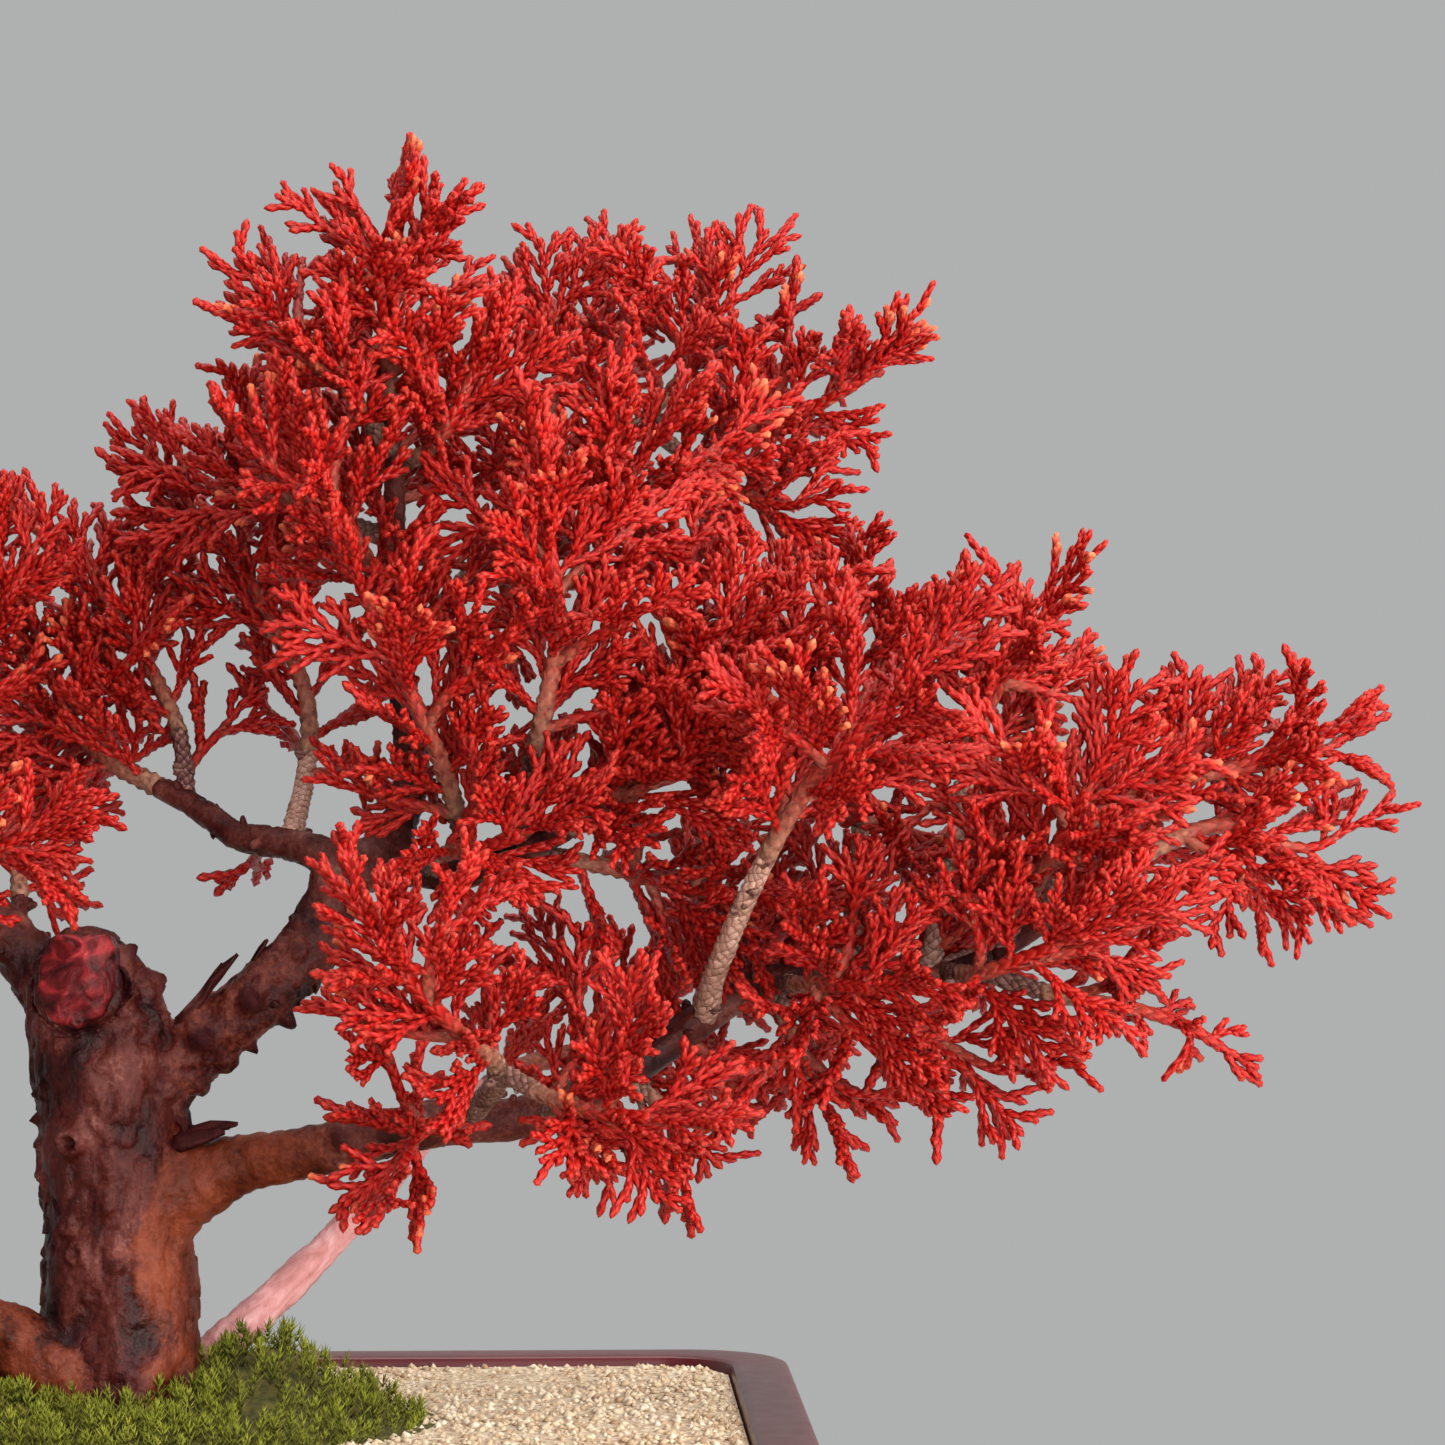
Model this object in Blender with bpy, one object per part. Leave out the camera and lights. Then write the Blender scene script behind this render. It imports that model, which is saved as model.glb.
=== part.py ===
"""A shimpaku juniper bonsai, dyed red, in its rounded oblong pot.

Lengths are in millimetres from the trunk's axis at the height of the pot's rim, with x to the
right, y away from the front and z up, until the last step. That one moves the middle of the
whole object's base to the origin and turns millimetres into metres.
"""

import math
import random

import bmesh
import bpy
import numpy as np
from mathutils import Matrix, Vector

MM = 0.001
SEED = 6311
UP = np.array((0.0, 0.0, 1.0))
GOLDEN = math.radians(137.5)
GAP = 0.3  # between two pieces that touch

# Foliage
FAN_STEP = 3.1  # along a stem, between two fans of cords
SHOOT_STEP = 1.7  # along a fan's axis, between two side shoots
SHOOTS_FROM, SHOOTS_SPAN = 0.16, 0.78  # shares of the axis: before the first, and along which they stand
SHOOT_ANGLE = (28, 42)  # degrees between a side shoot and the axis
ROUTE_STEP = 3.0  # between two points of a limb's smooth route
STEM_STEP = 13.0  # between two of a stem's rings, where other pieces are kept clear of it
CORD = 0.75  # from the middle of a cord to its edges
PALM = 0.95  # the same where a fan forks
FOOT, PALM_FROM, PALM_SHARE = 2.6, 5.0, 0.3  # where a fan clears the stem, and where it forks
SKIP = 3  # one fan in this many is left to the finer model
STEM = -1  # stands for the stem among a spray's fans
INNER_GAP = 0.12  # between two fans of one spray
SHORTER = (1.0, 0.82, 0.66, 0.5)  # shares of a cord's length to try where it would cross another

# Pot, half its outer size at the rim and the heights of its parts
POT_MIDDLE = (-1.0, -2.0)
POT_X, POT_Y, POT_CORNER = 100.0, 70.0, 16.0
RIM = 9.0
LIP = 9.0
BODY_BOTTOM, FLOOR, FEET = -46.0, -41.0, -52.0
INNER_TOP, INNER_BOTTOM = (91.0, 61.0, 11.0), (85.0, 55.0, 9.0)
CORNER_STEPS = 4  # edges in each rounded corner
# Outside from the bottom up: how far inside the rim's edge, how much tighter its corners, height
POT_OUTLINE = (
    (11.5, 5, BODY_BOTTOM), (10, 4, BODY_BOTTOM + 1.5), (4.2, 2, -LIP - 0.8), (3.4, 2, -LIP),
    (0.9, 0.5, -LIP), (0, 0, -LIP + 1), (0, 0, -1.1), (1.1, 1, 0),
)
# A foot: where its middle is from the pot's, and from the ground up half its width, depth, height
FOOT_X, FOOT_Y = 72.0, 50.0
FOOT_OUTLINE = ((12, 6.5, FEET), (13, 7.5, FEET + 2), (14, 8, BODY_BOTTOM + 0.7))
CORNERS = (1, 1), (-1, 1), (-1, -1), (1, -1)
DRAIN_X, DRAIN_RADIUS, DRAIN_SIDES = 46.0, 6.5, 14
SCREEN_RADIUS, SCREEN_THICK, REBATE = 8.7, 0.6, 1.1  # the screen lies in a rebate over its drain
OPENING_PLACE, OPENING_HALF = 2.3, 1.6  # of each of its four square openings

# Ground
SAND_TOP, SOIL_TOP, LOWEST_MOSS = -1.5, -5.0, -2.8
MOSS_MIDDLE, MOSS_X, MOSS_Y = (2.0, -4.0), 41.0, 37.0
MOSS_WAYS, TUFTS = 28, 38
TUFT_RADIUS, TUFT_HEIGHT = 1.3, (2.6, 3.8)
# Humps of the moss: place, height, spread
HUMPS = ((24, -3, 8.8, 170), (-20, -14, 2.6, 150))

# Trunk: height, how far it leans right and back, radius
ROOT_CROWN, ROOT_BOTTOM = 12.2, -14.0
TRUNK = (
    (8, 0.3, 0, 11.9), (13, 0.6, 0, 11.2), (20, 0.4, 0, 10.7), (28, 0.2, 0, 10.5), (36, 0, 0, 10.6),
    (44, -0.4, 0, 10.6), (51, -1.6, 0.1, 10.4), (58, -3.1, 0.2, 9.6), (64, -5.0, 0.4, 7.6),
    (67.5, -6.2, 0.5, 4.4),
)
TRUNK_SIDES = 14
HOLE = ROOT_CROWN + 0.45  # radius of the hole round the root crown
# The sawn stump of the old leader, and knots: root, tip, radius at the root
STUMP = ((-4.2, 0, 59.5), (-4.5, -12.0, 61.7), 6.3, 5.8)
KNOTS = (
    ((-6.2, -8.0, 38.0), (-6.6, -11.2, 38.4), 2.0), ((3.5, -9.0, 24.0), (4.2, -11.6, 24.6), 1.5),
    ((-2.0, -9.5, 17.0), (-2.4, -11.8, 17.5), 1.3), ((9.0, -3.0, 49.5), (13.0, -5.4, 49.0), 2.6),
    ((8.0, -4.0, 34.0), (13.2, -6.0, 35.6), 2.2), ((6.0, 8.0, 42.0), (9.2, 11.0, 43.5), 2.0),
)

# Each limb: radius at both ends, where along it the leaves begin (1 for a bare one), how much its
# fans are lifted, their length, and its route. One spray is made for each leafy limb.
LIMBS = {
    "leader": (
        5.2, 4.1, 1, 0, 0,
        ((3, 0, 45.5), (12.5, -0.5, 53), (21.5, -1, 60), (28.5, 1, 68), (32.5, 4, 77)),
    ),
    "left_arm": (
        2.7, 1.0, 0.57, 0.35, 18,
        ((33, 4, 78), (24, 7, 81), (16.5, 11.5, 82), (9, 18, 87), (-3, 25, 93), (-14, 36, 102)),
    ),
    "left_arm_up": (
        1.4, 0.9, 0.3, 0.35, 17,
        ((9, 18, 87), (7, 25, 98), (1, 31, 109), (-7, 35, 118)),
    ),
    "left_up": (
        1.7, 0.9, 0.36, 0.3, 16,
        ((24.5, 7, 81), (26, 24, 91), (26, 27, 102), (21, 29, 114), (14, 31, 124), (9, 31, 130)),
    ),
    "mid_arm": (
        3.3, 1.1, 0.62, 0.3, 18,
        ((33, 4, 78), (41, 1.5, 77.5), (51, -2, 77.5), (63, -10, 83), (75, -15, 90),
         (82, -15, 97)),
    ),
    "mid_low": (
        1.4, 0.9, 0.2, -0.1, 17,
        ((58, -6.7, 80.5), (70, -5, 78), (80, -3, 75), (88, -5, 74)),
    ),
    "apex": (
        2.9, 0.9, 0.75, 0.3, 15,
        ((38, 3.5, 79), (42, 6.5, 90), (40.5, 4.5, 105), (40, 2.5, 122), (39.5, -1.5, 142),
         (39, -1.5, 153), (40, -1.5, 165)),
    ),
    "apex_left": (
        1.4, 0.9, 0.3, 0.3, 14,
        ((39.5, -1, 137), (31, -5, 149), (26, -5.5, 154)),
    ),
    "apex_right": (
        1.3, 0.9, 0.3, 0.4, 16,
        ((40, 0.5, 134.5), (46, -6, 138.5), (50, -7, 145)),
    ),
    "apex_front": (
        1.4, 0.9, 0.3, 0.3, 17,
        ((40.5, 3, 112), (36, -9, 122), (30, -15, 132)),
    ),
    "left_mid": (
        1.5, 0.9, 0.3, 0.3, 17,
        ((39.7, 2.5, 124.5), (29, 11, 129), (20, 18, 131.5), (14, 22, 132)),
    ),
    "back_top": (
        2.1, 0.9, 0.81, 0.5, 18,
        ((40.5, 6.5, 108), (58, 23, 128), (76, 37, 144), (83, 40, 152), (87, 41, 158)),
    ),
    "back_top_right": (
        1.4, 0.9, 0.3, 0.1, 14,
        ((76, 37, 144), (92, 34, 143), (102, 31, 146), (107, 28, 149)),
    ),
    "back_top_left": (
        1.4, 0.9, 0.25, 0.4, 19,
        ((62, 27, 132), (63, 36, 145), (67, 41, 156)),
    ),
    "back_low_right": (
        1.3, 0.9, 0.3, 0.1, 17,
        ((76, 37, 144), (87, 31, 135), (95, 26, 130)),
    ),
    "back_mid": (
        1.4, 0.9, 0.3, 0.3, 18,
        ((51, 16, 120), (60, 10, 122), (68, 5, 127), (74, 2, 134)),
    ),
    "centre": (
        1.8, 0.9, 0.35, 0.35, 17,
        ((58, -6.7, 80.7), (60, -17, 95), (63, -22, 111), (61.5, -24, 126)),
    ),
    "centre_left": (
        1.6, 0.9, 0.25, 0.3, 17,
        ((51, -2, 77.5), (47, -16, 92), (42, -21, 104), (37, -23, 114)),
    ),
    "centre_low": (
        1.4, 0.9, 0.3, 0.25, 16,
        ((44, 0, 77.5), (47, -14, 80), (52, -23, 81), (58, -29, 83)),
    ),
    "low_bough": (
        4.6, 1.0, 0.868, 0.1, 14,
        ((4, 0, 31), (12, -2, 33.5), (19, -4, 35.8), (31, -9, 38.5), (45, -13.5, 42),
         (60.5, -12.5, 43.5), (75, -8, 50.5), (88, -3.5, 59), (99, -4, 63), (112, -9, 62.5),
         (121, -12.5, 64), (134, -15, 72), (146.5, -15.5, 80.5), (156.5, -14, 84),
         (162, -12, 82.5), (167, -12, 79.5)),
    ),
    "far_up": (
        1.2, 0.9, 0.4, 0.4, 13,
        ((139.5, -15.2, 75.8), (143, -12, 83), (152, -11, 90), (161, -11.5, 92),
         (169, -11.5, 95)),
    ),
    "far_left_up": (
        1.3, 0.9, 0.35, 0.4, 14,
        ((132, -14.5, 71), (136, -9, 82), (148, -9, 90), (156, -8, 96)),
    ),
    "tan": (
        1.8, 1.0, 0.52, 0.3, 20,
        ((84, -5.5, 56.5), (85.5, -14, 64), (90, -25, 76), (96, -34, 88), (102, -40, 95),
         (108, -42, 101)),
    ),
    "ridge": (
        1.7, 0.9, 0.54, 0.3, 14,
        ((115.5, -10.5, 63), (119, -9.5, 80), (123, -5, 96), (127, -6, 106), (131, -10, 112)),
    ),
    "ridge_back": (
        1.3, 0.9, 0.3, 0.3, 15,
        ((120.3, -8.4, 85), (127, 4, 96), (131, 14, 106)),
    ),
    "mid_rise": (
        1.8, 0.9, 0.57, 0.4, 17,
        ((104, -6, 62.5), (107, 6, 79), (106, 8, 96), (106, 7, 110)),
    ),
    "mid_rise_left": (
        1.3, 0.9, 0.35, 0.4, 16,
        ((107, 7, 84), (96, 1, 96), (90, -4, 108)),
    ),
    "right_mass": (
        1.7, 0.9, 0.3, 0.3, 18,
        ((125, -13.5, 67), (131, -25, 79), (136, -30, 89)),
    ),
    "right_front": (
        1.6, 0.9, 0.28, 0.05, 17,
        ((118, -11.5, 63), (122, -27, 64), (131, -35, 68)),
    ),
    "right_back": (
        1.5, 0.9, 0.35, 0.2, 17,
        ((118, -11, 63.5), (127, 4, 68), (136, 15, 74)),
    ),
    "bough_front": (
        1.4, 0.9, 0.3, 0.1, 16,
        ((94, -4, 61), (99, -20, 62), (106, -31, 62)),
    ),
    "droop": (
        1.5, 0.8, 0.3, 0.0, 7,
        ((121, -12.5, 64), (132, -15, 60.5), (143, -17.5, 58.5), (151, -18, 56), (156, -18, 53)),
    ),
    "droop2": (
        1.3, 0.8, 0.3, -0.25, 12,
        ((109, -8, 62.5), (115, -12, 55), (121, -15, 49)),
    ),
    "lowmid": (
        1.4, 0.8, 0.42, -0.2, 11,
        ((72, -9, 49), (78, -12, 44), (80, -14, 38)),
    ),
    "lowmid2": (
        1.3, 0.8, 0.3, -0.2, 12,
        ((94, -4, 61), (97, -8.5, 52), (100, -11, 46)),
    ),
    "front": (
        1.9, 0.9, 0.52, 0.3, 16,
        ((50.5, -13, 43), (55, -36, 51), (49, -51, 58), (42, -58, 66)),
    ),
    "front_right": (
        1.4, 0.9, 0.3, 0.0, 14,
        ((55, -35, 51), (65, -46, 47), (75, -54, 46)),
    ),
    "front_low": (
        1.3, 0.8, 0.35, -0.1, 13,
        ((44, -13.5, 43), (44, -32, 43), (42, -44, 39)),
    ),
    "front_low_right": (
        1.3, 0.8, 0.35, -0.1, 10,
        ((61, -12.5, 43.5), (66, -31, 46), (68, -44, 43)),
    ),
    "backlow": (
        1.6, 0.9, 0.4, 0.1, 17,
        ((70, -10, 48), (80, 16, 54), (91, 29, 58), (101, 36, 62)),
    ),
    "pink_limb": (
        3.5, 1.1, 0.7, 0.1, 17,
        ((4, 3, 1), (11, 7.5, 5.5), (18.5, 13, 11.5), (27, 21, 19), (36, 28.5, 28),
         (46, 36, 38.5), (58, 43, 46), (71, 47, 49), (82, 49, 52)),
    ),
    "left_leader": (
        5.0, 2.8, 1, 0, 0,
        ((-2, 0.5, 50), (-12, 5, 63), (-24, 10, 74), (-38, 12, 82), (-52, 10, 88)),
    ),
    "left_near": (
        1.8, 0.9, 0.5, 0.3, 14,
        ((-13, 5, 64), (-24, -4, 70), (-25.5, -12, 75), (-20, -17, 78.5), (-12.5, -19, 81)),
    ),
    "left_back_in": (
        1.7, 0.9, 0.35, 0.35, 17,
        ((-14, 6, 65), (-16, 24, 78), (-14, 36, 90)),
    ),
    "left_top": (
        2.2, 0.9, 0.52, 0.3, 18,
        ((-24, 10, 74), (-26, 14, 92), (-23, 16, 104), (-20, 17, 116)),
    ),
    "left_top_out": (
        1.4, 0.9, 0.3, 0.3, 17,
        ((-26, 14, 92), (-38, 12, 103), (-48, 9, 112)),
    ),
    "left_out": (
        2.8, 1.0, 0.53, 0.3, 17,
        ((-50, 10, 87), (-68, 6, 92), (-82, 4, 93), (-94, 1, 92)),
    ),
    "left_out_up": (
        1.4, 0.9, 0.3, 0.4, 16,
        ((-66, 6.5, 91.5), (-73, 1, 100), (-79, -1, 108)),
    ),
    "left_back": (
        1.7, 0.9, 0.35, 0.3, 17,
        ((-38, 12, 82), (-45, 27, 88), (-54, 39, 94)),
    ),
    "left_front": (
        1.7, 0.9, 0.35, 0.2, 17,
        ((-38, 12, 82), (-45, -5, 85), (-52, -21, 88), (-58, -31, 92)),
    ),
    "low_left": (
        6.2, 1.1, 0.76, 0.2, 17,
        ((1, -5, -1), (-6.5, -6.5, 6), (-14, -6, 11), (-24, -5, 14.5), (-36, -5, 18),
         (-50, -6, 27), (-64, -5, 37), (-80, -4, 45), (-95, -4, 50), (-106, -3, 53)),
    ),
    "low_left_up": (
        1.6, 0.9, 0.4, 0.4, 16,
        ((-64, -5, 37), (-70, -7, 50), (-74, -8, 61)),
    ),
    "low_left_front": (
        1.6, 0.9, 0.35, 0.1, 16,
        ((-50, -6, 27), (-58, -24, 33), (-66, -39, 39)),
    ),
    "low_left_back": (
        1.6, 0.9, 0.35, 0.2, 16,
        ((-57, -5.5, 32), (-66, 14, 41), (-76, 30, 49)),
    ),
    "low_left_rise": (
        1.4, 0.9, 0.35, 0.4, 16,
        ((-71, -4.5, 40.5), (-76, 0, 51), (-87, 1, 58.5), (-95, 1, 63), (-102, 1, 67)),
    ),
}


# Vectors and curves


def unit(v):
    return v / np.linalg.norm(v)


def square_to(direction, hint):
    """Unit vector nearest to hint at right angles to direction."""
    flat = hint - direction * float(hint @ direction)
    if np.linalg.norm(flat) < 1e-3:
        flat = np.cross(direction, (0.31, 0.95, 0.05))
    return unit(flat)


def lengths_along(points):
    steps = np.linalg.norm(np.diff(points, axis=0), axis=1)
    return np.concatenate(((0.0,), np.cumsum(steps)))


def rounded(points, step):
    """The route as a smooth curve through its points, at about equal steps."""
    p = np.array(points, float)
    ends = np.vstack((2 * p[0] - p[1], p, 2 * p[-1] - p[-2]))
    out = []
    for a, b, c, d in zip(ends[:-3], ends[1:-2], ends[2:-1], ends[3:]):
        n = max(1, round(np.linalg.norm(c - b) / step))
        for t in np.arange(n) / n:
            curve = 2 * b + (c - a) * t + (2 * a - 5 * b + 4 * c - d) * t * t
            out.append(0.5 * (curve + (3 * b - a - 3 * c + d) * t**3))
    out.append(p[-1])
    return np.array(out)


def at(points, along, distance):
    """Point and direction at a distance along a polyline."""
    i = int(np.clip(np.searchsorted(along, distance) - 1, 0, len(along) - 2))
    t = (distance - along[i]) / (along[i + 1] - along[i])
    return points[i] + (points[i + 1] - points[i]) * t, unit(points[i + 1] - points[i])


def arc(root, heading, bend, length, n):
    """n + 1 points from root that start along heading and lean towards bend."""
    points, step, d = [root], length / n, heading
    for _ in range(n):
        points.append(points[-1] + d * step)
        d = unit(d + bend / n)
    return np.array(points)


# How the juniper grows


def fan(rng, root, heading, hint, length):
    """One flattened fan of cords: its normal, and its axis followed by its side shoots."""
    normal = square_to(heading, hint)
    side = np.cross(normal, heading)
    lean = normal * rng.uniform(-0.1, 0.25) + side * rng.uniform(-0.15, 0.15)
    axis = arc(root, heading, lean, length, 6)
    along = lengths_along(axis)
    cords = [axis]
    n = int(length * SHOOTS_SPAN / SHOOT_STEP)
    flip = rng.choice((-1, 1))
    for i in range(n):
        t = SHOOTS_FROM + SHOOTS_SPAN * (i + rng.uniform(0, 0.5)) / n
        p, d = at(axis, along, t * length)
        flip = -flip
        tilt = rng.uniform(-0.55, 0.55)
        angle = math.radians(rng.uniform(*SHOOT_ANGLE))
        across = side * flip * math.cos(tilt) + normal * math.sin(tilt)
        out = unit(d * math.cos(angle) + across * math.sin(angle))
        reach = length * (0.6 - 0.4 * t) * rng.uniform(0.8, 1.15)
        cords.append(arc(p, out, d * 0.35 + UP * 0.1, reach, 4))
    return normal, cords


def fans_of(name):
    """The smooth route of a limb and its fans."""
    _, _, start, lift, size, route = LIMBS[name]
    rng = random.Random(SEED + sum(map(ord, name)))
    line = rounded(route, ROUTE_STEP)
    along = lengths_along(line)
    fans = []
    if start < 1:
        span = along[-1] * (1 - start)
        n = max(4, round(span / FAN_STEP))
        phase = rng.uniform(0, math.tau)
        for i in range(n):
            p, d = at(line, along, along[-1] * start + 2.0 + (span - 3.5) * i / (n - 1) * 0.97)
            phase += GOLDEN
            u = square_to(d, UP)
            around = u * math.cos(phase) + np.cross(d, u) * math.sin(phase)
            heading = unit(d * rng.uniform(0.45, 0.9) + around + UP * lift)
            hint = UP * rng.uniform(-0.2, 0.9) + np.array([rng.uniform(-1, 1) for _ in range(3)])
            fans.append(fan(rng, p, heading, hint, size * rng.uniform(0.8, 1.1)))
        tip = unit(line[-1] - line[-2])
        hint = UP * 0.3 + np.array([rng.uniform(-1, 1) for _ in range(3)])
        fans.append(fan(rng, line[-1] - tip, unit(tip + UP * lift * 0.5), hint, size * 1.05))
    return line, fans


# Solids


def tube(points, radii, sides, first=None, last=None, ribs=None):
    """Vertices and faces of a closed tube. first and last are the directions of its end faces."""
    points = [np.array(p, float) for p in points]
    n = len(points)
    ways = [unit(points[min(i + 1, n - 1)] - points[max(i - 1, 0)]) for i in range(n)]
    ways[0] = ways[0] if first is None else first
    ways[-1] = ways[-1] if last is None else last
    u = square_to(ways[0], np.array((0.2, -1.0, 0.3)))
    verts, faces = [], []
    for i, (p, way, r) in enumerate(zip(points, ways, radii)):
        u = square_to(way, u)
        w = np.cross(way, u)
        for k in range(sides):
            a = math.tau * k / sides
            rk = r * (ribs(a, p[2]) if ribs else 1)
            verts.append(p + (u * math.cos(a) + w * math.sin(a)) * rk)
        if i:
            low, high = (i - 1) * sides, i * sides
            for k in range(sides):
                j = (k + 1) % sides
                faces.append((low + k, low + j, high + j, high + k))
    faces.append(tuple(reversed(range(sides))))
    faces.append(tuple(range((n - 1) * sides, n * sides)))
    return verts, faces


def spike(root, tip, radius, sides=3):
    """A pointed solid with its flat end at root."""
    way = unit(tip - root)
    u = square_to(way, np.array((0.3, 0.2, -1.0)))
    w = np.cross(way, u)
    turns = [math.tau * k / sides for k in range(sides)]
    verts = [root + (u * math.cos(a) + w * math.sin(a)) * radius for a in turns] + [tip]
    faces = [(k, (k + 1) % sides, sides) for k in range(sides)]
    return verts, faces + [tuple(reversed(range(sides)))]


def loops(rings):
    """A closed solid through rings of equally many points, capped at both ends."""
    n = len(rings[0])
    verts = [p for ring in rings for p in ring]
    faces = [
        (low * n + k, low * n + (k + 1) % n, (low + 1) * n + (k + 1) % n, (low + 1) * n + k)
        for low in range(len(rings) - 1) for k in range(n)
    ]
    faces.append(tuple(reversed(range(n))))
    faces.append(tuple(range((len(rings) - 1) * n, len(rings) * n)))
    return verts, faces


def ring_wall(rings):
    """A closed solid with a hole: its rings run round the section and meet again."""
    n, m = len(rings[0]), len(rings)
    verts = [p for ring in rings for p in ring]
    faces = [
        (i * n + k, i * n + (k + 1) % n, (i + 1) % m * n + (k + 1) % n, (i + 1) % m * n + k)
        for i in range(m) for k in range(n)
    ]
    return verts, faces


def make(name, solid, into):
    verts, faces = solid
    mesh = bpy.data.meshes.new(name)
    mesh.from_pydata([tuple(float(c) for c in v) for v in verts], [], faces)
    bm = bmesh.new()
    bm.from_mesh(mesh)
    bmesh.ops.recalc_face_normals(bm, faces=bm.faces)
    bm.to_mesh(mesh)
    bm.free()
    made = bpy.data.objects.new(name, mesh)
    into.objects.link(made)
    return made


def combine(target, solids, operation="UNION", solver="MANIFOLD"):
    """Joins solids to target, or cuts them from it, by one Boolean on a collection."""
    if not solids:
        return
    group = bpy.data.collections.new("operands")
    bpy.context.scene.collection.children.link(group)
    for i, solid in enumerate(solids):
        make(f"operand_{i}", solid, group)
    step = target.modifiers.new("combine", "BOOLEAN")
    step.operation, step.operand_type, step.solver = operation, "COLLECTION", solver
    step.collection = group
    mesh = bpy.data.meshes.new_from_object(target.evaluated_get(bpy.context.evaluated_depsgraph_get()))
    target.modifiers.clear()
    target.data = mesh
    mesh.name = target.name
    for operand in list(group.objects):
        bpy.data.objects.remove(operand)
    bpy.data.collections.remove(group)


# The pot and what fills it


def oblong(half_x, half_y, corner, z):
    """A rounded oblong round the pot's middle, the same number of points for any size."""
    points = []
    for sx, sy, start in ((1, 1, 0), (-1, 1, 90), (-1, -1, 180), (1, -1, 270)):
        for k in range(CORNER_STEPS + 1):
            a = math.radians(start + 90 * k / CORNER_STEPS)
            x = sx * (half_x - corner) + corner * math.cos(a)
            y = sy * (half_y - corner) + corner * math.sin(a)
            points.append(np.array((x + POT_MIDDLE[0], y + POT_MIDDLE[1], z)))
    return points


def inside_pot(z, gap=GAP):
    """The pot's inner outline at a height, drawn in by the gap."""
    t = z / FLOOR
    sizes = [a + (b - a) * t - gap for a, b in zip(INNER_TOP, INNER_BOTTOM)]
    return oblong(*sizes, z)


def build_pot(into):
    x, y, r = POT_X, POT_Y, POT_CORNER
    outside = [oblong(x - inset, y - inset, r - tighter, z) for inset, tighter, z in POT_OUTLINE]
    inner_edge = oblong(x - RIM + 0.7, y - RIM + 0.7, INNER_TOP[2] + 0.7, 0)
    inside = [inner_edge, oblong(*INNER_TOP, -0.7), oblong(*INNER_BOTTOM, FLOOR)]
    pot = make("pot", loops(outside + inside), into)
    feet = []
    for i, j in CORNERS:
        cx, cy = POT_MIDDLE[0] + i * FOOT_X, POT_MIDDLE[1] + j * FOOT_Y
        feet.append(loops([
            [np.array((cx + a * hx, cy + b * hy, z)) for a, b in CORNERS] for hx, hy, z in FOOT_OUTLINE
        ]))
    combine(pot, feet)
    drains = []
    for sx in (-1, 1):
        x0 = POT_MIDDLE[0] + sx * DRAIN_X
        for radius, low in ((DRAIN_RADIUS, BODY_BOTTOM - 2), (SCREEN_RADIUS + GAP, FLOOR - REBATE)):
            ends = [(x0, POT_MIDDLE[1], low), (x0, POT_MIDDLE[1], FLOOR + 2)]
            drains.append(tube(ends, (radius, radius), DRAIN_SIDES))
    combine(pot, drains, "DIFFERENCE")
    return pot


def build_screen(name, side, into):
    """A round drainage screen in the rebate over one hole."""
    x0, y0, z0 = POT_MIDDLE[0] + side * DRAIN_X, POT_MIDDLE[1], FLOOR - REBATE + GAP
    disc = tube([(x0, y0, z0), (x0, y0, z0 + SCREEN_THICK)], (SCREEN_RADIUS,) * 2, DRAIN_SIDES)
    screen = make(name, disc, into)
    openings, half = [], OPENING_HALF
    for i, j in CORNERS:
        x, y = x0 + i * OPENING_PLACE, y0 + j * OPENING_PLACE
        openings.append(loops([
            [np.array((x + a * half, y + b * half, z)) for a, b in CORNERS] for z in (z0 - 1, z0 + 2)
        ]))
    combine(screen, openings, "DIFFERENCE")
    return screen


def to_wall(a, z):
    """How far the pot's inner wall, less the gap, lies from the trunk's axis in direction a."""
    x, y, corner = (p + (q - p) * z / FLOOR - GAP for p, q in zip(INNER_TOP, INNER_BOTTOM))
    near, far = 0.0, 150.0
    for _ in range(40):
        r = (near + far) / 2
        dx = abs(r * math.cos(a) - POT_MIDDLE[0]) - (x - corner)
        dy = abs(r * math.sin(a) - POT_MIDDLE[1]) - (y - corner)
        if math.hypot(max(dx, 0), max(dy, 0)) <= corner and dx <= corner and dy <= corner:
            near = r
        else:
            far = r
    return near


def moss_edge(a):
    """How far the moss reaches from the trunk's axis in direction a."""
    wave = 1 + 0.05 * math.sin(3 * a + 1.2) + 0.03 * math.sin(7 * a)
    c, s = math.cos(a) / MOSS_X, math.sin(a) / MOSS_Y
    mx, my = MOSS_MIDDLE
    b = mx * math.cos(a) / MOSS_X**2 + my * math.sin(a) / MOSS_Y**2
    k = (mx / MOSS_X) ** 2 + (my / MOSS_Y) ** 2 - 1
    q = c * c + s * s
    return wave * (b + math.sqrt(b * b - q * k)) / q


def under_limbs(x, y):
    """The greatest height at a place that stays clear of the two low limbs."""
    top = 99.0
    for name in ("low_left", "pink_limb"):
        line = rounded(LIMBS[name][5], ROUTE_STEP)
        near = int(np.argmin(np.hypot(line[:, 0] - x, line[:, 1] - y)))
        away = math.hypot(line[near, 0] - x, line[near, 1] - y)
        radius = radius_at(name, lengths_along(line)[near])
        if away < radius + 3.5:
            top = min(top, max(LOWEST_MOSS, line[near, 2] - radius - 0.9))
    return top


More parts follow.
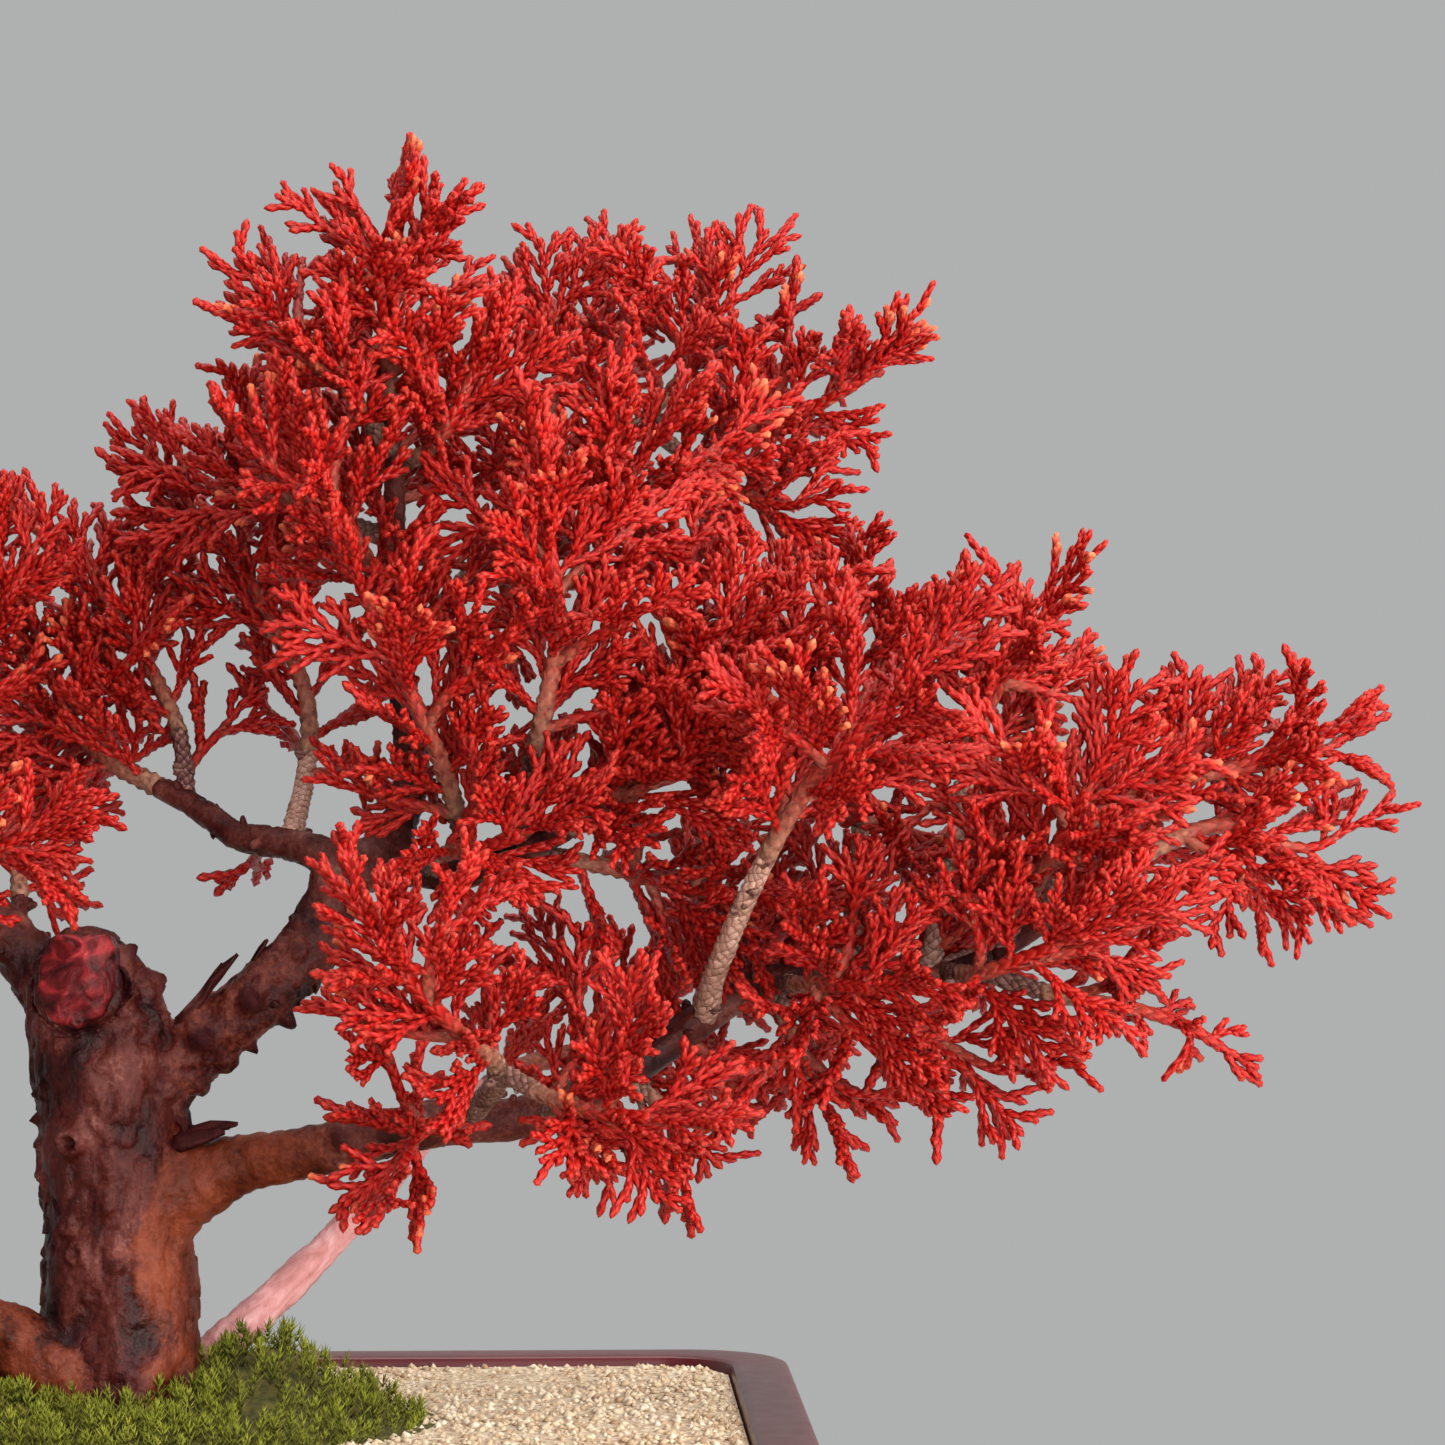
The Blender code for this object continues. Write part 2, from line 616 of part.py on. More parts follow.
def moss_height(x, y):
    """Height of the moss between its shoots: a low cushion with a hump to the right of the trunk."""
    out = math.hypot(x, y) / moss_edge(math.atan2(y, x))
    hump = sum(h * math.exp(-((x - mx) ** 2 + (y - my) ** 2) / wide) for mx, my, h, wide in HUMPS)
    lumps = 0.5 * math.sin(x * 0.42 + 1) * math.sin(y * 0.47)
    return min(-1.2 + 4.6 * max(0, 1 - out * out) + (hump + lumps) * max(0, 1 - out**4), under_limbs(x, y))


def polar(a, r, z):
    return np.array((r * math.cos(a), r * math.sin(a), z))


def build_moss(into):
    """A cushion with a plain hole for the trunk, and upright shoots over it."""
    ways = [math.tau * k / MOSS_WAYS for k in range(MOSS_WAYS)]
    rings = [[polar(a, HOLE, SOIL_TOP + GAP) for a in ways]]
    for share in (0, 0.25, 0.5, 0.75, 0.94):
        ring = []
        for a in ways:
            r = HOLE + (moss_edge(a) - HOLE) * share
            ring.append(polar(a, r, moss_height(r * math.cos(a), r * math.sin(a))))
        rings.append(ring)
    rings.append([polar(a, moss_edge(a), SAND_TOP) for a in ways])
    rings.append([polar(a, moss_edge(a), SOIL_TOP + GAP) for a in ways])
    moss = make("moss", ring_wall(rings), into)
    rng = random.Random(SEED + 1)
    shoots = []
    for i in range(TUFTS):
        a = i * GOLDEN
        share = math.sqrt((i + 0.5) / TUFTS) * 0.86 + 0.08
        r = HOLE + (moss_edge(a) - HOLE) * share
        x, y = r * math.cos(a), r * math.sin(a)
        z = moss_height(x, y)
        top = min(z + rng.uniform(*TUFT_HEIGHT), under_limbs(x, y) + 0.3)
        if top > z + 1.5:
            lean = np.array((rng.uniform(-0.7, 0.7), rng.uniform(-0.7, 0.7), 0))
            shoots.append(spike(np.array((x, y, z - 1.6)), np.array((x, y, top)) + lean, TUFT_RADIUS))
    combine(moss, shoots)
    return moss


def build_top_dressing(into):
    """Sand round the moss, up to the pot's wall, with a gently uneven top."""
    even = [math.tau * k / MOSS_WAYS for k in range(MOSS_WAYS)]
    corners = [math.atan2(p[1], p[0]) % math.tau for p in inside_pot(SAND_TOP)[::2]]
    ways = sorted(even + [a for a in corners if min(abs(a - b) for b in even) > 0.01])
    low = SOIL_TOP + GAP
    rings = [[polar(a, moss_edge(a) + GAP, low) for a in ways]]
    for share in (0, 0.35, 0.7, 1):
        ring = []
        for a in ways:
            inner = moss_edge(a) + GAP
            q = polar(a, inner + (to_wall(a, SAND_TOP) - inner) * share, SAND_TOP)
            if 0 < share < 1:
                q[2] += 0.4 * math.sin(q[0] * 0.17) * math.sin(q[1] * 0.21 + 1)
            ring.append(q)
        rings.append(ring)
    rings.append([polar(a, to_wall(a, low), low) for a in ways])
    return make("top_dressing", ring_wall(rings), into)


def build_soil(into):
    """Soil that fills the pot under sand and moss, with a plain blind hole for the root crown."""
    soil = make("soil", loops([inside_pot(FLOOR + GAP), inside_pot(SOIL_TOP)]), into)
    hole = tube([(0, 0, ROOT_BOTTOM - GAP), (0, 0, SOIL_TOP + 5)], (HOLE,) * 2, MOSS_WAYS)
    combine(soil, [hole], "DIFFERENCE")
    return soil


# Wood and foliage


def radius_at(name, distance):
    thick, thin, _, _, _, route = LIMBS[name]
    total = lengths_along(rounded(route, ROUTE_STEP))[-1]
    return thick + (thin - thick) * min(1.0, distance / total) ** 0.8


def bark(a, z):
    """Low ribs on the trunk above its root crown."""
    grow = min(1, max(0, (z - 5) / 8))
    return 1 + grow * (0.045 * math.sin(3 * a + z / 9) + 0.035 * math.sin(5 * a - z / 12))


def limb_parts(name):
    """A limb's bare part and its leafy part: points, radii and directions of their facing ends."""
    _, _, start, _, _, route = LIMBS[name]
    line = rounded(route, ROUTE_STEP)
    along = lengths_along(line)
    total = along[-1]
    stops = [along[int(np.argmin(np.linalg.norm(line - np.array(p), axis=1)))] for p in route]
    if start >= 1:
        wood = [at(line, along, s)[0] for s in stops]
        radii = [radius_at(name, s) for s in stops]
        way = unit(wood[-1] - wood[-2])
        wood.append(wood[-1] + way * radii[-1] * 0.6)
        return wood, radii + [radii[-1] * 0.55], None, None, None
    cut = total * start
    p, way = at(line, along, cut)
    kept = [s for s in stops if s < cut - 2.5]
    wood = [at(line, along, s)[0] for s in kept] + [p]
    wood_radii = [radius_at(name, s) for s in kept + [cut]]
    n = max(2, round((total - cut) / STEM_STEP))
    marks = [cut + GAP + (total - 0.6 - cut - GAP) * k / n for k in range(n + 1)]
    stem = [p + way * GAP] + [at(line, along, s)[0] for s in marks[1:]]
    stem_radii = [radius_at(name, s) for s in marks]
    return wood, wood_radii, stem, stem_radii, way


def build_wood(into):
    """Root crown, trunk and every bare part of a limb, grown as one."""
    crown = [(0, 0, ROOT_BOTTOM), (0, 0, 4)]
    points = crown + [(x, y, z) for z, x, y, _ in TRUNK]
    radii = [ROOT_CROWN, ROOT_CROWN] + [r for _, _, _, r in TRUNK]
    wood = make("tree_wood", tube(points, radii, TRUNK_SIDES, UP, None, bark), into)
    solids = [tube(STUMP[:2], STUMP[2:], 9)]
    solids += [spike(np.array(a), np.array(b), r, 5) for a, b, r in KNOTS]
    for name in LIMBS:
        points, radii, _, _, way = limb_parts(name)
        sides = 8 if radii[0] >= 4 else 6 if radii[0] >= 2 else 5
        solids.append(tube(points, radii, sides, None, way))
    combine(wood, solids)
    return wood


def between(p, q, starts, ends):
    """Least distance from segment pq to each segment, with how far along both it lies."""
    d1, d2, r = q - p, ends - starts, p - starts
    a, e = float(d1 @ d1), np.einsum("ij,ij->i", d2, d2)
    b, c, f = d2 @ d1, r @ d1, np.einsum("ij,ij->i", d2, r)
    bottom = a * e - b * b
    s = np.where(bottom > 1e-9, np.clip((b * f - c * e) / np.maximum(bottom, 1e-9), 0, 1), 0.0)
    t = np.clip((b * s + f) / e, 0, 1)
    s = np.clip((b * t - c) / a, 0, 1)
    near = (p + d1 * s[:, None]) - (starts + d2 * t[:, None])
    return np.linalg.norm(near, axis=1), s, t


class Room:
    """The tapered rods placed so far, each with its piece and fan, to keep them clear of each other."""

    def __init__(self):
        self.rods, self.owners, self.fans = [], [], []
        self.stale = True

    def add(self, owner, fan_number, p, q, rp, rq):
        self.rods.append(np.concatenate((p, q, (rp, rq))))
        self.owners.append(owner)
        self.fans.append(fan_number)
        self.stale = True

    def clear(self, owner, fan_number, p, q, rp, rq, ignore=()):
        """True if the rod stays GAP from other pieces, and INNER_GAP from other fans of its own."""
        if self.stale:
            self.table, self.stale = np.array(self.rods), False
            self.names, self.numbers = np.array(self.owners), np.array(self.fans)
        own = self.names == owner
        counted = ~np.isin(self.names, ignore) & ~(own & (self.numbers == fan_number))
        counted &= ~(own & (self.numbers == STEM) & (rp > CORD))
        rods, own = self.table[counted], own[counted]
        if not len(rods):
            return True
        distance, s, t = between(p, q, rods[:, :3], rods[:, 3:6])
        thick = rp + (rq - rp) * s + rods[:, 6] + (rods[:, 7] - rods[:, 6]) * t
        return bool(np.all(distance > thick + np.where(own, INNER_GAP, GAP)))


class Branchlet:
    """A closed skin of four-sided rods that fork, grown from one end to the other."""

    def __init__(self):
        self.verts, self.faces = [], []

    def point(self, p):
        self.verts.append(np.array(p, float))
        return len(self.verts) - 1

    def ring(self, centre, u, w, r):
        turns = [math.radians(45 + 90 * k) for k in range(4)]
        return [self.point(centre + (u * math.cos(a) + w * math.sin(a)) * r) for a in turns]

    def matched(self, low, high):
        """high, turned so that its points lie over those of low."""
        a = np.array([self.verts[i] for i in low])
        b = np.array([self.verts[i] for i in high])
        a, b = a - a.mean(0), b - b.mean(0)
        turn = min(range(4), key=lambda o: sum(np.linalg.norm(a[m] - b[(m + o) % 4]) for m in range(4)))
        return high[turn:] + high[:turn]

    def join(self, low, high, sprouts=()):
        """The four faces between two rings, less those that carry something, which it returns."""
        open_faces = {}
        for k in range(4):
            j = (k + 1) % 4
            quad = (low[k], low[j], high[j], high[k])
            if k in sprouts:
                open_faces[k] = quad
            else:
                self.faces.append(quad)
        return open_faces

    def spike(self, base, tip):
        t = self.point(tip)
        for a, b in zip(base, base[1:] + base[:1]):
            self.faces.append((a, b, t))

    def fork(self, ring, centre, tips):
        """Up to four spikes side by side on a ring."""
        z = self.point(centre)
        for k in range(4):
            base = [ring[k], ring[(k + 1) % 4], z]
            if tips[k] is None:
                self.faces.append(tuple(base))
            else:
                self.spike(base, tips[k])

    def carry(self, low, frame):
        """A fan on a ring or an open face: its palm, with fingers, and the fork at its end."""
        u, w = frame["side"], frame["normal"]
        if frame["foot"] is not None:
            foot = self.matched(low, self.ring(frame["foot"], u, w, PALM))
            self.join(low, foot)
            low = foot
        palm = self.ring(frame["palm"], u, w, PALM)
        high = self.matched(low, palm)
        toward = {high.index(palm[3]): 0, high.index(palm[1]): 1}
        tips = {k: frame["fingers"][which] for k, which in toward.items()}
        wanted = {k: tip for k, tip in tips.items() if tip is not None}
        for k, quad in self.join(low, high, wanted).items():
            self.spike(list(quad), wanted[k])
        self.fork(palm, frame["palm"] + frame["way"] * 0.8, frame["prongs"])


def frame_of(normal, cords, on_side):
    """Where a fan's palm, prongs and fingers go. on_side is True for one on the stem's side."""
    root, tip = cords[0][0], cords[0][-1]
    length = np.linalg.norm(tip - root)
    way = unit(tip - root)
    normal = square_to(way, normal)
    side = np.cross(normal, way)
    reach = max(PALM_FROM, PALM_SHARE * length)
    palm = root + way * reach
    tips = {"right": [], "left": [], "high": []}
    for points in cords[1:]:
        start, end = points[0], points[-1]
        along = float((start - root) @ way) / length
        hand = "right" if (end - start) @ side > 0 else "left"
        tips[hand].append((along, end))
        if along > 0.42 and (end - palm) @ normal > 0.8:
            tips["high"].append((along, end))
    prongs, fingers = [None] * 4, [None] * 2
    prongs[2] = tip
    for k, finger, hand in ((3, 0, "right"), (1, 1, "left")):
        early = [end for along, end in tips[hand] if along * length < reach + 0.6]
        late = [end for along, end in tips[hand] if along * length >= reach + 0.6]
        prongs[k] = late[0] if late else None
        fingers[finger] = early[0] if early else None
    spare = [end for _, end in tips["high"] if not any(end is p for p in prongs)]
    prongs[0] = spare[0] if spare else None
    return {
        "way": way, "normal": normal, "side": side, "root": root, "palm": palm,
        "foot": root + way * FOOT if on_side else None, "prongs": prongs, "fingers": fingers,
    }


def build_sprays(into):
    """A node for each leafy limb's end: its stem, which forks into fans all round and at its tip."""
    room = Room()
    parts = {name: limb_parts(name) for name in LIMBS}
    crown = [np.array((x, y, z), float) for z, x, y, _ in TRUNK]
    for a, b, r, s in zip(crown[:-1], crown[1:], TRUNK[:-1], TRUNK[1:]):
        room.add("tree_wood", 0, a, b, r[3], s[3])
    for name, (points, radii, stem, stem_radii, _) in parts.items():
        for i in range(len(points) - 1):
            last = stem is not None and i == len(points) - 2
            owner = f"end_{name}" if last else "tree_wood"
            room.add(owner, 0, points[i], points[i + 1], radii[i], radii[i + 1])
        for i in range(len(stem) - 1 if stem else 0):
            room.add(name, STEM, stem[i], stem[i + 1], stem_radii[i], stem_radii[i + 1])
    grown = {}
    for name, (_, _, stem, stem_radii, _) in parts.items():
        if not stem:
            continue
        for i in range(len(stem) - 1):
            place = (stem[i], stem[i + 1], stem_radii[i], stem_radii[i + 1])
            if not room.clear(name, STEM, *place, ignore=(f"end_{name}",)):
                print("stem meets another piece:", name, i)
        fans = fans_of(name)[1]
        grown[name] = []
        for number, (normal, cords) in enumerate(fans):
            if number % SKIP == SKIP - 1 and number < len(fans) - 1:
                continue
            at_tip = number == len(fans) - 1
            frame = frame_of(normal, cords, not at_tip)
            start = frame["root"] + frame["way"] * (FOOT if not at_tip else 1.2)
            if at_tip or room.clear(name, number, start, frame["palm"], PALM, PALM):
                room.add(name, number, start, frame["palm"], PALM * 0.9, PALM * 0.9)
                grown[name].append((number, frame))
    left_out = 0
    for kind, picks in (("prongs", (2,)), ("prongs", (1, 3)), ("fingers", (0, 1)), ("prongs", (0,))):
        for name, placed in grown.items():
            for number, frame in placed:
                base = frame["palm"] if kind == "prongs" else (frame["root"] + frame["palm"]) / 2
                for pick in picks:
                    tip = frame[kind][pick]
                    if tip is None:
                        continue
                    frame[kind][pick] = None
                    way = unit(tip - base)
                    length = np.linalg.norm(tip - base)
                    for share in SHORTER:
                        start, end = base + way * 1.3, base + way * length * share
                        if length * share > 2.5 and room.clear(name, number, start, end, CORD * 0.8, 0.1):
                            room.add(name, number, start, end, CORD * 0.8, 0.1)
                            frame[kind][pick] = end
                            break
                    else:
                        left_out += 1
    print("cords left out:", left_out)
    sprays = []
    for name, placed in grown.items():
        sprays.append(make(f"spray_{name}", branchlet(name, parts[name], placed), into))
    return sprays


def branchlet(name, part, placed):
    """The skin of one spray. Each fan on the stem's side takes one face between two rings."""
    _, _, start, _, _, route = LIMBS[name]
    line = rounded(route, ROUTE_STEP)
    along = lengths_along(line)
    cut = along[-1] * start
    skin = Branchlet()
    hosts = []
    for number, frame in placed[:-1] if placed[-1][1]["foot"] is None else placed:
        near = int(np.argmin(np.linalg.norm(line - frame["root"], axis=1)))
        lo, hi = max(0, near - 1), min(len(line) - 1, near + 1)
        best = min(
            (np.linalg.norm(line[i] + (line[i + 1] - line[i]) * t - frame["root"]),
             along[i] + (along[i + 1] - along[i]) * t)
            for i in range(lo, hi) for t in np.linspace(0, 1, 11)
        )
        hosts.append((best[1], frame))
    hosts.sort(key=lambda h: h[0])
    end = along[-1] - 0.6
    marks, hosted = [cut + GAP], {}
    for i, (s, frame) in enumerate(hosts):
        low = max(s - FAN_STEP / 2, marks[-1])
        if low > marks[-1] + 0.4:
            marks.append(low)
        high = min(max(s + FAN_STEP / 2, marks[-1] + 1.6), end - 0.5)
        if i + 1 < len(hosts) and hosts[i + 1][0] - FAN_STEP / 2 < high:
            high = (s + hosts[i + 1][0]) / 2
        hosted[len(marks) - 1] = frame
        marks.append(high)
    marks.append(end)
    u = None
    rings, sides = [], []
    for s in marks:
        p, way = at(line, along, s)
        if s == marks[0]:
            way = part[4]
            p = at(line, along, cut)[0] + way * GAP
            u = square_to(way, np.array((0.2, -1.0, 0.3)))
        u = square_to(way, u)
        w = np.cross(way, u)
        rings.append(skin.ring(p, u, w, radius_at(name, s)))
        sides.append((w, -u, -w, u))
    skin.faces.append(tuple(reversed(rings[0])))
    for i in range(len(rings) - 1):
        if i in hosted:
            frame = hosted[i]
            k = max(range(4), key=lambda k: sides[i][k] @ frame["way"])
            skin.carry(list(skin.join(rings[i], rings[i + 1], (k,))[k]), frame)
        else:
            skin.join(rings[i], rings[i + 1])
    skin.carry(rings[-1], placed[-1][1])
    return skin.verts, skin.faces


# The whole


def paint(objects, name, colour, roughness, metallic=0.0):
    material = bpy.data.materials.new(name)
    material.use_nodes = True
    shader = material.node_tree.nodes["Principled BSDF"]
    shader.inputs["Base Color"].default_value = (*colour, 1)
    shader.inputs["Roughness"].default_value = roughness
    shader.inputs["Metallic"].default_value = metallic
    for painted in objects:
        painted.data.materials.clear()
        painted.data.materials.append(material)


def settle(objects):
    """Moves the middle of the whole base to the origin and turns millimetres into metres."""
    places = np.array([v.co[:] for ob in objects for v in ob.data.vertices])
    low, high = places.min(0), places.max(0)
    middle = Vector((*((low + high) / 2)[:2], low[2]))
    print("box", np.round(low, 2), np.round(high, 2), "moved by", [round(-c, 2) for c in middle])
    for ob in objects:
        ob.data.transform(Matrix.Scale(MM, 4) @ Matrix.Translation(-middle))


def main():
    for ob in list(bpy.data.objects):
        bpy.data.objects.remove(ob)
    juniper = bpy.data.collections.new("juniper_bonsai")
    bpy.context.scene.collection.children.link(juniper)
    pot = build_pot(juniper)
    sides = ("left", -1), ("right", 1)
    screens = [build_screen(f"drainage_screen_{side}", way, juniper) for side, way in sides]
    soil = build_soil(juniper)
    dressing = build_top_dressing(juniper)
    moss = build_moss(juniper)
    wood = build_wood(juniper)
    sprays = build_sprays(juniper)
    paint([pot], "maroon_glaze", (0.13, 0.018, 0.022), 0.35)
    paint(screens, "black_mesh", (0.02, 0.02, 0.022), 0.6)
    paint([soil], "dark_soil", (0.05, 0.03, 0.02), 0.95)
    paint([dressing], "cream_sand", (0.72, 0.55, 0.37), 0.9)
    paint([moss], "green_moss", (0.16, 0.2, 0.03), 0.9)
    paint([wood], "red_brown_bark", (0.19, 0.055, 0.035), 0.7)
    paint(sprays, "red_foliage", (0.42, 0.025, 0.018), 0.55)
    settle([pot, *screens, soil, dressing, moss, wood, *sprays])


main()
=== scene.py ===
"""The finished look of the dyed juniper bonsai: fine foliage, bark, moss, sand, glaze and light.

Lengths are in millimetres from the trunk's axis at the height of the pot's rim, with x to the
right, y away from the front and z up, as in the part's source. They become the frame's metres
when a mesh is made.
"""

import math
import random

import bmesh
import bpy
import numpy as np
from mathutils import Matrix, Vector, kdtree, noise


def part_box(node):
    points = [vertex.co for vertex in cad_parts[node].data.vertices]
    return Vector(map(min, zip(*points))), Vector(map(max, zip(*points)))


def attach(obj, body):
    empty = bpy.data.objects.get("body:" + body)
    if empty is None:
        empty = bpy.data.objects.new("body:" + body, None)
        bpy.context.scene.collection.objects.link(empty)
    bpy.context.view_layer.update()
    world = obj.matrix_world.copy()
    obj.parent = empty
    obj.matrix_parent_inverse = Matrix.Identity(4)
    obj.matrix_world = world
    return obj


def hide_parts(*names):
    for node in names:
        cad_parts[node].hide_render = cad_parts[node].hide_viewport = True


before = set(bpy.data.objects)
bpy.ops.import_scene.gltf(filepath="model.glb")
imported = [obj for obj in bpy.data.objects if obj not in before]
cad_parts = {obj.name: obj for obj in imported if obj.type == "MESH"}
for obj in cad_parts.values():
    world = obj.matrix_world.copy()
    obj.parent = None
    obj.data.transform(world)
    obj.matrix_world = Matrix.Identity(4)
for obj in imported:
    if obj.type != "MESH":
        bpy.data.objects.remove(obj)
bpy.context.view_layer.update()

MM = 0.001
SEED = 6311
UP = np.array((0.0, 0.0, 1.0))
GOLDEN = math.radians(137.5)

# The pot tells where the trunk's axis is
POT_MIDDLE = (-1.0, -2.0)
POT_LOW, POT_HIGH = (np.array(corner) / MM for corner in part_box("pot"))
TRUNK_AXIS = np.array((*((POT_LOW + POT_HIGH) / 2)[:2] - POT_MIDDLE, POT_HIGH[2]))

# Camera: level, a little to the right of the trunk and turned slightly to the right
LENS, SENSOR = 122.1, 36.0
CAMERA_TURN = math.radians(2.2)
CAMERA_RIGHT, CAMERA_BACK, CAMERA_UP = 86.7, 700.0, 98.5

# Foliage
FAN_STEP = 2.9  # between two fans on a limb
TWIG_STEP = 4.2  # between two fans on a short twig
SHOOT_STEP, FINGER_STEP = 1.85, 2.8  # between two side shoots of a fan, and two fingers of a shoot
SHORTEST_FORKED = 4.2  # of the shoots that have fingers
RING_STEP = 1.07  # between two rings of points along a cord, which is half a scale leaf's length
CORD_RADII = (0.73, 0.71, 0.68)  # of a fan's axis, its side shoots and its fingers
BRAID = 0.2  # how far the scale leaves stand out, as a share of the radius

# Studio: the board's radius and its rings, as how far in and how high each is, and for each light
# its name, place, aim, width, watts and colour
FLOOR_RADIUS = 292.0
BOARD_RINGS = ((1.5, -12), (0, -10.5), (0, -1.5), (1.5, 0))
BACKGROUND = (0.43, 0.435, 0.435)
LIGHTS = (
    ("key", (760, -420, 420), (60, 0, 90), 1.2, 19.0, (1, 0.96, 0.94)),
    ("top", (60, 60, 900), (60, 0, 60), 1.3, 11.5, (1, 0.98, 0.97)),
    ("left_fill", (-700, -600, 250), (20, 0, 60), 1.2, 1.0, (0.98, 0.98, 1)),
    ("front_fill", (380, -900, 60), (60, 0, 70), 1.2, 18.0, (1, 0.99, 0.98)),
)

# Pot: its outline from the base up, over the rim and down inside, as how far in from the outside
# each ring is, how much tighter its corners are, and its height
POT_X, POT_Y, POT_CORNER = 100.0, 70.0, 16.0
BODY_BOTTOM, FLOOR, FEET = -46.0, -41.0, -52.0
POT_OUTLINE = (
    (11.5, 5, BODY_BOTTOM), (10.6, 4.4, -45.5), (10, 4, -44.5), (8.4, 3.5, -36), (6.2, 2.8, -22),
    (4.2, 2, -10.4), (3.8, 2, -9.5), (3, 2, -9.05), (0.9, 0.5, -9), (0.35, 0.2, -8.7), (0, 0, -8),
    (0, 0, -4.5), (0, 0, -1.3), (0.12, 0.1, -0.7), (0.45, 0.4, -0.25), (1.1, 1, 0), (2.5, 2, 0.05),
    (7.6, 3.6, 0.05), (8.3, 4.3, -0.05), (8.75, 4.75, -0.3), (9, 5, -0.9), (15, 7, FLOOR),
)
CORNER_STEPS = 14
FOOT_X, FOOT_Y = 72.0, 50.0
FOOT_RINGS = ((11.4, 5.9, FEET), (12, 6.5, -51.6), (13, 7.5, -50), (14, 8, -45.3))
DRAIN_X, DRAIN_RADIUS, SCREEN_RADIUS = 46.0, 6.5, 8.7

# Ground
SAND_TOP = -1.5
MOSS_MIDDLE, MOSS_X, MOSS_Y = (2.0, -4.0), 41.0, 37.0
MOSS_SIDES, MOSS_FOOT = 96, -4.5
MOSS_RINGS = [1.03 * (0.28 + 0.72 * k / 16) for k in range(17)]  # shares of the moss's reach
GRAINS, MOSS_SHOOTS = 7400, 1850
WALL_CLEAR = 0.9  # between the grains' middles and the pot's wall
GRAIN_SIZES = (0.4, 0.5, 0.55, 0.65, 0.8)
GRAIN_CORNERS = np.array([(1, 0, 0), (-1, 0, 0), (0, 1, 0), (0, -1, 0), (0, 0, 1), (0, 0, -1)], float)
GRAIN_FACES = np.array((
    (0, 2, 4), (2, 1, 4), (1, 3, 4), (3, 0, 4), (2, 0, 5), (1, 2, 5), (3, 1, 5), (0, 3, 5),
))
NEEDLE_FACES, NEEDLE_RADIUS = np.array(((0, 1, 3), (1, 2, 3), (2, 0, 3), (2, 1, 0))), 0.17
# Tiers of needles on a shoot of moss: height, how many, how far they spread, length
MOSS_TIERS = ((0.2, 2, 0.7, 2.6), (1.6, 3, 0.75, 2.0), (2.7, 4, 0.6, 1.7), (3.4, 3, 0.25, 1.3))

# Trunk: height, how far it leans right and back, radius
TRUNK = (
    (-2, 0, 0, 12.6), (3, 0.1, 0, 12.3), (8, 0.3, 0, 11.9), (13, 0.6, 0, 11.2), (20, 0.4, 0, 10.7),
    (28, 0.2, 0, 10.5), (36, 0, 0, 10.6), (44, -0.4, 0, 10.6), (51, -1.6, 0.1, 10.4),
    (58, -3.1, 0.2, 9.6), (64, -5.0, 0.4, 7.6), (67.5, -6.2, 0.5, 4.4),
)
# The sawn stump of the old leader: root, tip, radius. Its face from the tip: right, up, forward
STUMP = ((-4.2, 0, 59.5), (-4.5, -12.0, 61.7), 6.3)
STUMP_FACE = (
    (-2.8, 7.2, 0), (4.4, 7.2, 0), (5.4, 5.2, 0), (5.4, -0.5, 0), (3.8, -4.4, 0), (0.2, -6.0, 0),
    (-3.8, -4.8, 0), (-5.4, -0.8, 0), (-5.0, 3.8, 0), (1.4, 4.6, 1.9), (-2.8, 2.4, 1.2), (2.6, 0.2, 2.2),
    (-1.6, -1.6, 1.8), (1.4, -3.6, 1.1),
)
STUMP_HOLLOW = (0.6, -3.6)
STUMP_FLAPS = 15
